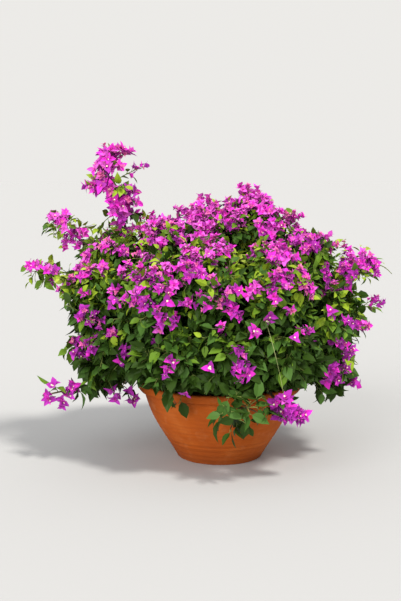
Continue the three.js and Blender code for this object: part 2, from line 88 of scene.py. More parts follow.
# The seeds of the random draws.
LEAF_SEED, FLOWER_SEED, CRUMB_SEED = 101, 202, 303

# The view: the photograph's long side, focal length and middle in pixels, and where the camera stands.
PHOTO_LONG_SIDE = 601
FOCAL_PIXELS = 1000
SENSOR_MM = 36
PHOTO_MIDDLE = (200.5, 300.5)
CAMERA_AT = np.array((-0.0589, -3.0118, 0.8733))
CAMERA_PITCH = math.radians(7.5)

# The light: an even pale surround, a soft sun from the right and a broad lamp that fills from the left.
# Each lamp has its strength, its width and place in degrees (azimuth 0 is the front, 90 the right), and
# its colour. The floor is as bright in that light as the surround.
WORLD_COLOUR = (1.0, 0.985, 0.955)
WORLD_STRENGTH = 0.84
LAMPS = {
    "key": (2.9, 9, 40, 56, (1.0, 0.955, 0.87)),
    "fill": (2.1, 45, -32, 24, (1.0, 0.98, 0.95)),
}
FLOOR_RADIUS = 60

# The bowl. Its height and rim come from the frame. The pulls are the inner control points of the
# belly's curve from the foot to the neck, as radius and height.
BOWL_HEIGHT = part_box("pot")[1].z
RIM_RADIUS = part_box("pot")[1].y
BAND_HEIGHT = 0.024
FLARE_RADIUS = 0.244
NECK = (0.230, 0.200)
UPPER_PULL = (0.215, 0.128)
LOWER_PULL = (0.167, 0.064)
FOOT_RADIUS = 0.131
FOOT_EDGE = 0.004
WALL = 0.015
RIM_WALL = 0.022
BOWL_FLOOR = 0.018
LIP_ROUND = 0.007
BAND_ROUND = 0.003
BAND_GROOVE = 0.0022
BAND_GAP = 0.0015
BAND_HOLLOW = 0.0006
BOWL_SEGMENTS = 144
OUTSIDE_STEP = 0.0026
INSIDE_STEP = 0.009
# The marks of the potter's hand: grooves as height and depth, a wave as length and depth, and dents.
THROWING_GROOVES = ((0.027, 0.0010), (0.043, 0.0015), (0.060, 0.0012), (0.082, 0.0006), (0.150, 0.0004))
GROOVE_WIDTH = 0.0035
THROWING_WAVE = (0.013, 0.00035)
DENT = 0.0009

# The soil, which falls from the trunk's foot to the wall, and the loose crumbs on it.
SOIL_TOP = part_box("soil")[1].z
SOIL_SUNK = 0.002
SOIL_FALL = 0.007
SOIL_FALL_FROM = 0.07
SOIL_ROUGHNESS = 0.0035
SOIL_RINGS = 44
SOIL_SEGMENTS = 96
CRUMBS = 900
CRUMB_SIZE = (0.0018, 0.0055)
CRUMBS_FROM = 0.05
CRUMBS_WITHIN = 0.006

# The trunk and boughs, as in the solids, with their bark.
CLEARANCE = 0.0003
TRUNK_HEIGHT = 0.105
TRUNK_LEAN = 0.014
TRUNK_RADII = (0.044, 0.029, 0.024)
TRUNK_FLARE_FADE = 0.14
TRUNK_LOBES = 5
TRUNK_LOBE_DEPTH = 0.12
TRUNK_TOP_ROUND = 0.14
BOUGH_BASE_RADIUS = 0.005
BOUGH_RADIUS_PER_LENGTH = 0.007
BOUGH_TIP_RADIUS = 0.0034
BOUGH_SWELL = 1.1
BOUGH_RISE = 0.5
INTO_DENSE = 0.72
INTO_OPEN = 0.9
BARK_RELIEF = 0.14
BARK_RING = 0.005
# How fine the ridges are round the limb and along it, and the knots along it.
BARK_RIDGES = (4.4, 36)
BARK_KNOTS = 55
TRUNK_SIDES = 44
BOUGH_SIDES = 12

# The crown's rule. Lengths are in metres, and the rest are shares of the mass's reach or of a shoot.
SPACE_MARGIN = 0.001
BOWL_MARGIN = 0.004
BOX_MARGIN = 0.014
SHORTEST_REACH = 0.03
SHORTEST_SHARE = 0.3
SEAM_SHARE = 0.80
INWARD_LIMIT = 0.35
GOLDEN_ANGLE = math.pi * (3 - math.sqrt(5))
GOLDEN_SHARE = 0.618

# Stems and limbs.
STEM_REACH = 0.75
LIMBS = 8
LIMB_SPACING = 0.09
LIMB_REACH = 0.62
LIMB_RISE = 0.15
LIMB_RADIUS = 0.0026
LIMB_TAPER = 0.65

# Shoots. The inner ones come layer by layer: how far apart they end, between which shares of the reach, and
# whether they also grow towards the neighbouring masses.
SHOOT_RADIUS = 0.0016
SHOOT_TAPER = 0.6
OUTER_SPACING = 0.037
LOOSE_SPACING = 0.080
INNER_LAYERS = ((0.042, (0.60, 0.80), False), (0.050, (0.35, 0.60), False), (0.056, (0.45, 0.92), True))
DIRECTION_JITTER = 0.08
SLANT = 0.15
# A shoot that faces lower than this arches more, and these are the arches as shares of its length.
ARCHING_BELOW = 0.15
ARCHES = (0.24, 0.10)
TRUSS_STAND_BACK = 0.032
TIP_STAND_BACK = 0.038
TIP_BEHIND_BLOOM = 0.024
# The size of hollows, and how far from the patches of blossom they are read in the noise.
HOLLOW_SIZE = 0.07
HOLLOW_SHIFT = 7.7
HOLLOW_CHANCE = 0.4
HOLLOW_LEAST = 0.2
LONG_SHOOTS = 0.13
LONG_BY = (0.006, 0.034)
SPRAY_DEPTH = 0.92
# How near the bowl and how low the crown may hang: close outside the rim, farther out at front and back.
CURTAIN_GAP = 0.045
UNDERSIDE_GAP = 0.170
UNDERSIDE_FROM = 0.10
UNDERSIDE_SLOPE = 0.20

# Where shoots bloom, and with how many flowers from low down to the top. The front blooms less by chance,
# because its sprays are placed, and it faces below these shares of Y and Z.
BLOOM_ON_TOP = 0.25
BLOOM_IN_PATCHES = 0.60
BLOOM_IN_FRONT = 0.08
FRONT_FACING = (-0.2, 0.6)
PATCH_SIZE = 0.095
TRUSS_HEIGHTS = (0.34, 0.58)
FEWEST_FLOWERS = 1.4
MORE_FLOWERS = 11
FLOWER_CHANCE = (0.5, 1.3)
TRUSS_FILL = 1.65

# Between which width, curl, fold and ripple leaves vary, and bracts after a share of their flower's length.
LEAF_SHAPE = ((0.27, 0.34), (0.10, 1.0), (0.08, 0.50), (0, 0.02))
BRACT_SHAPE = ((0.90, 1.08), (0.31, 0.41), (0.1, 1.1), (0.05, 0.55), (0, 0.10))
# How the waves of their edges run with the share of the length, with the side and with the width.
EDGE_WAVES = (9, 2.4, 40)
# How far leaves and flowers turn on from one shoot to the next.
LEAF_TURN, FLOWER_TURN = 5.1, 2.7

# Leaves. Those high up are smaller, and so are the last ones on a shoot.
FEWEST_LEAVES = 3
NODE_SPACING = 0.0095
INNER_NODES = 1.15
LEAFY_FROM = 0.25
LEAVES_IN_TRUSS = 0.10
LEAF_LENGTH = (0.029, 0.050)
LEAF_HEIGHTS = (0.28, 0.66)
LEAF_GROWTH = (1.24, 0.74)
# A leaf's way is made of its shoot's, of away from it and of out of the mass, and it faces out and up.
LEAF_WAY = (0.40, 0.80, 0.30)
LEAF_FACING = (0.60, 0.65)
LEAF_SWAY = 0.32
LEAF_TWIST = 0.50
HANG = (0.05, 0.30)
HANG_CHANCE = (-0.1, 0.3)
HANG_BELOW = 0.62
TIP_FROM = 0.75
TIP_SHRINK = 0.42
PETIOLE = 0.010
PETIOLE_SHRINK = 0.5

# Flowers: three bracts round an axis, tubes inside them, and a star where a tube has opened. Pairs for
# single flowers and for those of a truss are in that order.
TRUSS_FROM = 3
BRACT_LENGTH = (0.015, 0.0215)
BRACT_OPEN = (0.42, 1.00)
BRACT_CHANCE = 0.12
SINGLE_OPENS = 0.12
SINGLE_BLOOM_GROWTH = 1.35
LOW_FLOWER_HEIGHTS = (0.30, 0.45)
LOW_FLOWER_GROWTH = 1.40
YOUNG_ABOVE = 0.36
YOUNG_GROWTH = 0.6
YOUNG_ANYWHERE = 0.07
YOUNG_AT_TIP = 0.4
TRUSS_TIP = 0.25
TRUSS_LENGTH = 0.040
TRUSS_OF = 6
# A flower's stalk: its length, then the share of it that is grown and the lean at the truss's tip, each with
# what comes to it down the truss.
PEDICEL = (0.005, 0.012)
PEDICEL_GROWTH = (0.6, 0.4)
PEDICEL_LEAN = (0.25, 1.1)
PEDICEL_WAY = (0.35, 0.25)
PEDICEL_SWAY = 0.15
FLOWER_FACING = (0.9, 0.3)
FLOWER_SWAY = 0.28
TUBE_LENGTH = (0.38, 0.50)
TUBE_RADIUS = 0.034
TUBE_FLARE = 1.3
TUBE_LEAN = 0.32
STAR_RADII = (0.14, 0.115)
STAR_CORNERS = 10
# How far a star's notches and its tips are across and forwards, as shares of its radius.
STAR_SHAPE = (0.5, 1.0)
STAR_LIFT = (0.15, 0.35)
# The stalks of leaves and of flowers, and how far they run on into them.
PETIOLE_RADIUS = 0.0008
PEDICEL_RADIUS = 0.0007
STALK_OVERLAP = 0.002
# How many rings and sides the meshes of the thin parts have.
LIMB_MESH = (7, 6)
SHOOT_MESH = (5, 4)
INNER_SHOOT_MESH = (4, 3)
BARE_SHOOT_MESH = (9, 5)
STALK_MESH = (2, 3)

MASS_NODES = {
    kind: [name for name in frame["nodes"] if name.startswith(kind)] for kind in ("foliage_", "blossom_")
}

Mass = namedtuple("Mass", "name middle half parent share bloom dense ragged", defaults=(True, 0.18))

# Each mass: its middle and half sizes, the mass whose bough carries its own (or None for the trunk) and
# how far along, the share of its shoots that bloom, whether it is dense, and how ragged its outline is.
MASSES = [Mass(*row) for row in (
    ("crown_centre", (-0.031, 0.019, 0.620), (0.168, 0.177, 0.172), None, 0.97, 0.75, True, 0.2),
    ("crown_right", (0.095, 0.008, 0.663), (0.158, 0.163, 0.172), "crown_centre", 0.3, 0.75, True, 0.22),
    ("front_centre", (-0.028, -0.165, 0.520), (0.200, 0.198, 0.176), None, 0.78, 0.16),
    ("back_centre", (0.011, 0.195, 0.539), (0.212, 0.205, 0.182), None, 0.74, 0.7),
    ("right_shoulder", (0.224, 0.000, 0.588), (0.158, 0.163, 0.139), None, 0.64, 0.70, True, 0.27),
    ("left_shoulder", (-0.309, 0.018, 0.590), (0.158, 0.158, 0.139), None, 0.72, 0.12, True, 0.3),
    ("crown_left", (-0.150, 0.016, 0.596), (0.172, 0.182, 0.162), "left_shoulder", 0.4, 0.65, True, 0.22),
    ("front_right", (0.122, -0.154, 0.512), (0.196, 0.198, 0.172), None, 0.7, 0.30),
    ("front_left", (-0.159, -0.143, 0.488), (0.196, 0.205, 0.178), None, 0.7, 0.12),
    ("back_right", (0.185, 0.164, 0.514), (0.201, 0.198, 0.176), None, 0.66, 0.6),
    ("back_left", (-0.175, 0.171, 0.497), (0.210, 0.201, 0.184), None, 0.66, 0.6),
    ("left_flank", (-0.331, -0.026, 0.474), (0.182, 0.198, 0.172), None, 0.56, 0.1, True, 0.34),
    ("right_flank", (0.310, -0.008, 0.430), (0.178, 0.191, 0.148), None, 0.56, 0.06, True, 0.40),
    ("front_low_left", (-0.122, -0.196, 0.350), (0.178, 0.172, 0.150), None, 0.4, 0),
    ("front_low_right", (0.152, -0.184, 0.348), (0.170, 0.170, 0.150), None, 0.4, 0),
    ("back_low_left", (-0.156, 0.190, 0.350), (0.196, 0.186, 0.150), None, 0.4, 0.12),
    ("back_low_right", (0.164, 0.192, 0.348), (0.194, 0.186, 0.150), None, 0.4, 0.12),
    ("front_low_centre", (0.020, -0.212, 0.364), (0.168, 0.168, 0.156), None, 0.48, 0),
    ("back_low_centre", (0.001, 0.236, 0.362), (0.178, 0.168, 0.152), None, 0.48, 0.12),
    ("left_skirt", (-0.274, -0.050, 0.344), (0.196, 0.184, 0.196), None, 0.34, 0.02, True, 0.32),
    ("right_low", (0.266, -0.048, 0.324), (0.166, 0.166, 0.146), None, 0.34, 0.02, True, 0.28),
    ("spike", (-0.314, -0.020, 0.798), (0.088, 0.082, 0.160), "left_shoulder", 0.8, 0.9, False),
    ("left_arm_upper", (-0.462, -0.020, 0.694), (0.098, 0.084, 0.072), "left_shoulder", 0.92, 0.25, False),
    ("left_arm_tip", (-0.516, -0.030, 0.567), (0.096, 0.074, 0.064), "left_flank", 0.8, 0.2, False),
    ("right_arm", (0.392, -0.010, 0.562), (0.108, 0.098, 0.098), "right_shoulder", 0.8, 0.4, False),
    ("left_trail", (-0.466, -0.075, 0.214), (0.092, 0.072, 0.064), "left_skirt", 0.75, 0.2, False),
    ("front_trail", (0.050, -0.312, 0.218), (0.106, 0.062, 0.096), "front_low_centre", 0.6, 0),
    ("front_bloom", (0.174, -0.262, 0.208), (0.084, 0.066, 0.060), "front_low_right", 0.7, 0.3, False),
)]

# Where the front of the crown is leafy among the blossom, as places with a radius.
LEAFY_PLACES = (
    (0.075, -0.20, 0.600, 0.075),
    (0.090, -0.27, 0.520, 0.080),
    (-0.100, -0.26, 0.500, 0.060),
    (-0.330, -0.12, 0.560, 0.050),
)

# Where the crown stands back from the reach of its masses, as places with a radius.
CLEARINGS = (
    (-0.530, -0.03, 0.450, 0.125),
    (-0.500, -0.05, 0.260, 0.120),
    (-0.340, -0.05, 0.095, 0.130),
    (-0.440, 0.00, 0.740, 0.105),
    (-0.130, 0.00, 0.830, 0.100),
    (0.035, 0.00, 0.865, 0.097),
    (0.105, 0.00, 0.875, 0.094),
    (0.200, 0.00, 0.850, 0.105),
    (0.240, 0.00, 0.775, 0.102),
    (0.520, 0.00, 0.440, 0.140),
    (0.500, -0.02, 0.340, 0.145),
    (0.330, -0.05, 0.060, 0.140),
    (-0.250, -0.10, 0.225, 0.085),
    (0.250, -0.10, 0.225, 0.065),
)

# The sprays that stand out, each where it shows in the photograph, as pixels from the left and from the
# top, with its number of flowers. The leafy ones have none.
SPRAYS = {
    "tall spray": (
        (104, 147, 9), (112, 151, 7), (122, 149, 9), (130, 153, 9), (96, 170, 9), (106, 167, 9),
        (101, 176, 7), (122, 167, 5), (92, 188, 9), (102, 186, 10), (110, 191, 5), (144, 167, 4),
        (124, 187, 0), (137, 215, 0), (131, 232, 0), (138, 231, 0), (144, 236, 0), (136, 226, 0),
        (145, 242, 0), (133, 191, 5), (128, 200, 9), (113, 201, 9), (120, 206, 9), (136, 203, 5),
        (121, 218, 5), (113, 213, 5), (118, 227, 3), (117, 190, 0), (132, 236, 0), (141, 220, 0),
        (88, 186, 7), (95, 193, 7), (108, 160, 5),
    ),
    "left arms": (
        (55, 217, 9), (66, 214, 9), (62, 222, 9), (63, 229, 3), (84, 234, 9), (64, 247, 9), (76, 247, 3),
        (46, 231, 0), (98, 229, 0), (90, 226, 0), (30, 268, 5), (36, 266, 5), (47, 271, 5), (56, 272, 5),
        (60, 289, 4), (30, 281, 0),
    ),
    "left side": (
        (107, 241, 10), (101, 247, 5), (86, 257, 7), (78, 270, 9), (88, 270, 9), (82, 277, 5), (81, 292, 3),
        (84, 263, 7), (82, 268, 7), (72, 277, 5), (111, 292, 3), (100, 325, 3), (80, 318, 9), (90, 322, 7),
        (84, 311, 5), (74, 342, 7), (84, 345, 9), (90, 352, 5), (76, 354, 5), (113, 333, 9), (112, 305, 5),
        (122, 303, 5), (133, 304, 9), (142, 308, 5), (125, 349, 3), (121, 360, 3),
    ),
    "front left": (
        (126, 252, 9), (136, 255, 9), (128, 264, 9), (140, 264, 7), (122, 272, 9), (134, 276, 9),
        (155, 268, 9), (166, 266, 9), (178, 269, 9), (160, 275, 7), (187, 264, 7), (190, 277, 9),
        (202, 275, 9), (210, 278, 7), (162, 288, 7), (174, 286, 9), (168, 294, 7), (139, 291, 3),
        (158, 316, 5), (163, 325, 7), (172, 326, 5), (160, 330, 5), (184, 304, 5), (169, 302, 1),
        (204, 309, 3), (167, 372, 3), (172, 362, 1),
    ),
    "top left": (
        (152, 224, 9), (163, 220, 10), (172, 224, 10), (150, 233, 5), (177, 209, 7), (140, 218, 5),
        (150, 243, 7), (163, 241, 5), (185, 212, 10), (192, 206, 9), (200, 199, 9), (208, 198, 10),
        (216, 204, 10), (198, 212, 10), (208, 214, 10), (190, 222, 10), (181, 226, 9), (200, 226, 10),
        (212, 224, 10), (222, 212, 10), (228, 205, 9), (238, 212, 10), (226, 222, 10), (183, 240, 9),
        (184, 249, 9), (195, 238, 10), (205, 242, 10), (215, 238, 10), (197, 252, 10), (208, 254, 9),
        (220, 248, 10), (230, 250, 7),
    ),
    "top right": (
        (240, 187, 9), (248, 186, 9), (257, 190, 9), (266, 200, 10), (270, 212, 10), (262, 213, 9),
        (272, 222, 10), (258, 223, 10), (262, 232, 10), (272, 236, 10), (283, 226, 9), (286, 214, 7),
        (294, 213, 9), (300, 217, 7), (280, 243, 10), (266, 245, 10), (276, 251, 10), (288, 250, 10),
        (272, 258, 9), (284, 262, 10), (294, 258, 10), (279, 270, 9), (290, 274, 10), (300, 268, 9),
        (300, 240, 10), (310, 238, 10), (320, 235, 10), (328, 237, 10), (315, 247, 9), (304, 251, 9),
        (336, 245, 7), (344, 243, 7), (350, 251, 7),
    ),
    "right arm": (
        (362, 253, 10), (370, 256, 10), (375, 264, 9), (366, 268, 9), (360, 262, 9), (376, 275, 7),
        (356, 275, 7), (344, 265, 7), (340, 272, 7), (350, 281, 5), (326, 281, 9), (334, 283, 5),
        (386, 268, 0), (392, 274, 0),
    ),
    "front right": (
        (306, 278, 9), (304, 287, 9), (312, 289, 9), (310, 297, 7), (288, 288, 5), (275, 305, 5),
        (292, 311, 3), (268, 318, 2), (331, 313, 2), (254, 332, 2), (311, 330, 5), (229, 293, 5),
        (238, 291, 5), (248, 296, 7), (219, 306, 5), (231, 314, 7), (238, 318, 5), (222, 326, 3),
        (242, 354, 5), (236, 370, 8), (247, 373, 8), (240, 379, 5), (209, 370, 1), (293, 339, 1),
    ),
    "right side": (
        (376, 298, 5), (385, 302, 5), (349, 322, 7), (357, 328, 5), (367, 327, 7), (345, 345, 7),
        (350, 351, 5), (330, 372, 7), (337, 378, 7), (327, 380, 5), (345, 370, 3), (355, 384, 4),
        (322, 392, 0), (334, 390, 0),
    ),
    "left trail": (
        (72, 389, 4), (70, 395, 2), (53, 385, 2), (48, 399, 3), (63, 403, 3), (116, 398, 3), (133, 401, 3),
        (88, 382, 0), (80, 392, 0),
    ),
    "over the rim": (
        (275, 404, 7), (285, 400, 7), (290, 410, 7), (280, 416, 5), (297, 414, 7), (303, 417, 5),
        (186, 393, 1), (230, 432, 0), (222, 414, 0), (240, 420, 0), (250, 415, 0), (258, 408, 0),
        (266, 404, 0), (245, 404, 0), (235, 400, 0), (226, 398, 0), (241, 397, 0), (251, 401, 0),
        (262, 397, 0), (224, 406, 0), (232, 412, 0), (248, 426, 0), (179, 404, 0), (171, 400, 0),
    ),
}

# A long bare shoot that hangs down the front, from one place to the other.
BARE_SHOOT = ((0.121, -0.335, 0.455), (0.168, -0.345, 0.262))
BARE_SHOOT_BEND = (0.006, -0.01, 0)
BARE_SHOOT_RADII = (0.0008, 0.0006)

# The masses that may hang over the rim, those of loose shoots, and those grown from sprays alone.
TRAILING = ("front_trail", "front_bloom")
LOOSE = ("left_arm_upper", "left_arm_tip", "right_arm", "front_trail")
SPRAYS_ONLY = ("spike", "left_trail", "front_bloom")

# How much larger than elsewhere the flowers of some masses are. Their leaves follow by LEAF_SHARE.
GROWTH = {
    "spike": 1.35, "front_bloom": 1.12, "front_trail": 1.45,
    "left_trail": 0.95, "left_arm_upper": 0.92, "left_arm_tip": 0.92, "right_arm": 0.92,
}
LEAF_SHARE = 0.5

# The plain colours of the leaves, from painted deep shade through painted sun to the youngest tips, and of
# the bracts, from painted shade to painted light, where the last tone is for young flowers.
LEAF_COLOURS = {
    "shade": (0.024, 0.054, 0.006),
    "deep": (0.050, 0.116, 0.018),
    "mid": (0.106, 0.200, 0.016),
    "sunny": (0.240, 0.350, 0.022),
    "young": (0.340, 0.430, 0.055),
}
LEAF_STEPS = (0.20, 0.42, 0.70, 0.98)
# Among the bracts' tones, violet is painted shade, vivid the middle, bright painted light, and rose is for
# young flowers.
BRACT_COLOURS = {
    "violet": (0.400, 0.026, 0.390),
    "vivid": (0.710, 0.028, 0.545),
    "bright": (0.680, 0.102, 0.580),
    "rose": (0.680, 0.130, 0.370),
}
BRACT_SHARES = (0.24, 0.35, 0.41)
YOUNG_TONE = len(BRACT_COLOURS) - 1

# How much painted sun leaves get, with painted shade low down and inside: a base, then the weights of height,
# of facing up, of patches, of the leafy places, of the flanks and of growing inside. Height and flank rise
# within limits, and tips are tender high up.
SUN_WEIGHTS = (0.12, 0.46, 0.18, 0.30, 0.25, 0.16, -0.40)
SUNNY_HEIGHTS = (0.22, 0.67)
SUNNY_FLANKS = (0.20, 0.40)
SUN_BY_SHOOT = 0.09
# How far from the patches of blossom the patches of painted sun on leaves are read in the noise.
SUN_SHIFT = 3.1
SUN_BY_LEAF = 0.06
TENDER_HEIGHTS = (0.30, 0.50)
TENDER_TIPS = (0.05, 0.22)

# How bright bracts are, with painted light on those that face up and stand high and painted shade low down:
# the weights of facing up, of height, of a single flower and of larger growth.
TONE_WEIGHTS = (0.10, 0.55, -0.12, -0.5)
TONE_HEIGHTS = (0.32, 0.66)
TONE_SPREAD = 0.14
# How often a bract has the next tone above its flower's, and how often the one below.
OTHER_TONE = 0.18
# How often a flower has its first, second and third tube, and how often a tube has opened into a star.
TUBE_SHARES = (1, 0.5, 0.25)
OPEN_SHARE = 0.17
OPEN_SHARE_LOW = 0.45

# The tones of clay and soil, as places on the scale of a noise with their colours, and the colours of the
# streaks, the lime and the foot, which is darker towards the bottom.
CLAY_TONES = ((0.30, (0.325, 0.063, 0.007)), (0.55, (0.425, 0.089, 0.009)), (0.75, (0.53, 0.148, 0.028)))
SOIL_TONES = ((0.32, (0.018, 0.011, 0.007)), (0.55, (0.052, 0.031, 0.019)), (0.78, (0.13, 0.085, 0.055)))
STREAK_COLOUR = (0.35, 0.068, 0.007)
LIME_COLOUR = (0.58, 0.27, 0.12)
FOOT_DARK_COLOUR = (0.23, 0.052, 0.010)

# The roughness of leaves, the roughness and sheen of bracts, the colours and the roughness of the other small
# parts, and the dark and the light colours of bark.
LEAF_ROUGHNESS = 0.5
BRACT_FINISH = (0.62, 0.12)
STAR_LOOK = ((0.86, 0.78, 0.55), 0.7)
TUBE_LOOK = ((0.60, 0.06, 0.30), 0.6)
TWIG_LOOK = ((0.16, 0.20, 0.05), 0.6)
BARE_SHOOT_LOOK = ((0.33, 0.36, 0.15), 0.6)
BARK_COLOURS = ((0.060, 0.038, 0.024), (0.24, 0.175, 0.12))
TWIG_BARK_COLOURS = ((0.085, 0.062, 0.030), (0.20, 0.165, 0.085))


def unit(vectors):
    return vectors / np.maximum(np.linalg.norm(vectors, axis=-1, keepdims=True), TINY)


def along(vectors, others):
    """The dot product of each vector with its partner, kept as a column."""
    return np.sum(vectors * others, axis=-1, keepdims=True)


def swing(first, second, angle):
    """The direction at an angle from the first towards the second, which are square to each other."""
    return np.cos(angle)[..., None] * first + np.sin(angle)[..., None] * second


def around(axis, away, turn):
    """The direction square to an axis at a turn round it, which starts square to away too.

    Away is given a little off the vertical, so that an upright axis has a side too.
    """
    side = unit(np.cross(axis, away))
    return swing(side, np.cross(axis, side), turn)


def rise(value, low, high):
    """0 up to low, 1 from high on, and in step between them."""
    return np.clip((value - low) / (high - low), 0, 1)


def deal(counts):
    """The owner's number for each thing that some owners carry, and the thing's number there."""
    return np.repeat(np.arange(len(counts)), counts), np.concatenate([np.arange(n) for n in counts])


def weigh(weights, *values):
    """The sum of the values, each times its weight."""
    return sum(weight * value for weight, value in zip(weights, values))


def put(name, data):
    """A new object in the scene."""
    thing = bpy.data.objects.new(name, data)
    bpy.context.scene.collection.objects.link(thing)
    return thing


def add_camera():
    lens = bpy.data.cameras.new("camera")
    lens.sensor_width = SENSOR_MM
    lens.lens = SENSOR_MM * FOCAL_PIXELS / PHOTO_LONG_SIDE
    camera = put("camera", lens)
    camera.location = CAMERA_AT
    camera.rotation_euler = (math.pi / 2 - CAMERA_PITCH, 0, 0)
    bpy.context.scene.camera = camera


def add_lamp(name, strength, width, azimuth, elevation, colour):
    lamp = bpy.data.lights.new(name, "SUN")
    lamp.energy = strength
    lamp.angle = math.radians(width)
    lamp.color = colour
    a, e = math.radians(azimuth), math.radians(elevation)
    towards = Vector((math.sin(a) * math.cos(e), -math.cos(a) * math.cos(e), math.sin(e)))
    put(name, lamp).rotation_euler = towards.to_track_quat("Z", "Y").to_euler()


def add_world():
    world = bpy.data.worlds.new("studio")
    world.use_nodes = True
    background = world.node_tree.nodes["Background"]
    background.inputs["Color"].default_value = (*WORLD_COLOUR, 1)
    background.inputs["Strength"].default_value = WORLD_STRENGTH
    bpy.context.scene.world = world


# Materials

def new_material(name, **values):
    """A material and its Principled shader, with the sockets named in values set on the shader itself."""
    material = bpy.data.materials.new(name)
    material.use_nodes = True
    shader = material.node_tree.nodes["Principled BSDF"]
    for socket, value in values.items():
        shader.inputs[socket.replace("_", " ")].default_value = value
    return material, shader


class Nodes:
    """Short ways to add nodes to a material."""

    def __init__(self, material):
        self.tree = material.node_tree
        self.place = self.add("ShaderNodeTexCoord", {}).outputs["Object"]

    def fill(self, node, values):
        """Sets a node's sockets to values, or links them to the outputs of other nodes."""
        for socket, value in values.items():
            if isinstance(value, bpy.types.NodeSocket):
                self.tree.links.new(value, node.inputs[socket])
            else:
                node.inputs[socket].default_value = value

    def add(self, kind, values, **settings):
        node = self.tree.nodes.new(kind)
        for key, value in settings.items():
            setattr(node, key, value)
        self.fill(node, values)
        return node

    def noise(self, scale, detail, stretch=(1, 1, 1)):
        place = self.add("ShaderNodeMapping", {"Vector": self.place, "Scale": stretch}).outputs["Vector"]
        values = {"Vector": place, "Scale": scale, "Detail": detail}
        return self.add("ShaderNodeTexNoise", values).outputs["Fac"]

    def ramp(self, value, *stops):
        """stops are (position, colour) with a colour of three numbers, or one number for a grey."""
        node = self.add("ShaderNodeValToRGB", {"Fac": value})
        elements = node.color_ramp.elements
        while len(elements) < len(stops):
            elements.new(0.5)
        for element, (position, colour) in zip(elements, stops):
            element.position = position
            element.color = (*(colour if hasattr(colour, "__len__") else [colour] * 3), 1)
        return node.outputs["Color"]

    def mix(self, share, first, second):
        values = {"Factor": share, "A": first, "B": (*second, 1)}
        return self.add("ShaderNodeMix", values, data_type="RGBA").outputs["Result"]

    def bump(self, height, distance, strength, **before):
        values = {"Height": height, "Distance": distance, "Strength": strength, **before}
        return self.add("ShaderNodeBump", values).outputs["Normal"]

    def height(self):
        return self.add("ShaderNodeSeparateXYZ", {"Vector": self.place}).outputs["Z"]


def plain(name, colour, roughness, sheen=0.0):
    """A plain colour for the small parts that are dealt out by spray."""
    finish = {"Roughness": roughness, "Sheen Weight": sheen, "Specular IOR Level": 0.12}
    return new_material(name, Base_Color=(*colour, 1), **finish)[0]


def terracotta():
    """Fired clay with streaks from the wheel, patches of lime and a foot that grows darker towards the
    bottom.
    """
    material, shader = new_material("terracotta", Specular_IOR_Level=0.15)
    nodes = Nodes(material)
    clay = nodes.ramp(nodes.noise(9, 6), *CLAY_TONES)
    streaks = nodes.ramp(nodes.noise(14, 3, (1, 1, 9)), (0.35, 0.0), (0.7, 0.5))
    lime = nodes.ramp(nodes.noise(26, 8), (0.58, 0.0), (0.80, 0.25))
    # The clay grows darker towards the bottom of the bowl.
    darker_foot = nodes.ramp(nodes.height(), (0.0, 0.75), (0.028, 0.28), (0.07, 0.0))
    limed = nodes.mix(lime, nodes.mix(streaks, clay, STREAK_COLOUR), LIME_COLOUR)
    grain = nodes.bump(nodes.noise(420, 3), 0.0006, 0.35)
    nodes.fill(shader, {
        "Base Color": nodes.mix(darker_foot, limed, FOOT_DARK_COLOUR),
        "Roughness": nodes.ramp(nodes.noise(40, 4), (0.3, 0.72), (0.7, 0.92)),
        "Normal": nodes.bump(nodes.noise(60, 5, (1, 1, 5)), 0.0015, 0.35, Normal=grain),
    })
    return material


def rough(name, colours, mottle, relief, depth, strength, **values):
    """A rough material with mottled colours and a fine relief, each from a noise of its own."""
    material, shader = new_material(name, **values)
    nodes = Nodes(material)
    normal = nodes.bump(nodes.noise(*relief), depth, strength)
    nodes.fill(shader, {"Base Color": nodes.ramp(nodes.noise(*mottle), *colours), "Normal": normal})
    return material


def soil():
    return rough("soil", SOIL_TONES, (55, 8), (260, 6), 0.002, 0.7, Roughness=0.95, Specular_IOR_Level=0.2)


def bark(name, dark, light):
    colours, mottle, relief = ((0.35, dark), (0.68, light)), (45, 8, (1, 1, 0.25)), (190, 6, (1, 1, 0.3))
    return rough(name, colours, mottle, relief, 0.0012, 0.6, Roughness=0.85, Specular_IOR_Level=0.3)


def pale_floor():
    """A floor that is as bright under the lamps and the surround as the surround itself."""
    surround = np.array(WORLD_COLOUR) * WORLD_STRENGTH
    lit = surround.copy()
    for strength, _, _, elevation, colour in LAMPS.values():
        lit += np.array(colour) * strength * math.sin(math.radians(elevation)) / math.pi
    return new_material("floor", Base_Color=(*surround / lit, 1), Roughness=1.0, Specular_IOR_Level=0.0)[0]


# Meshes

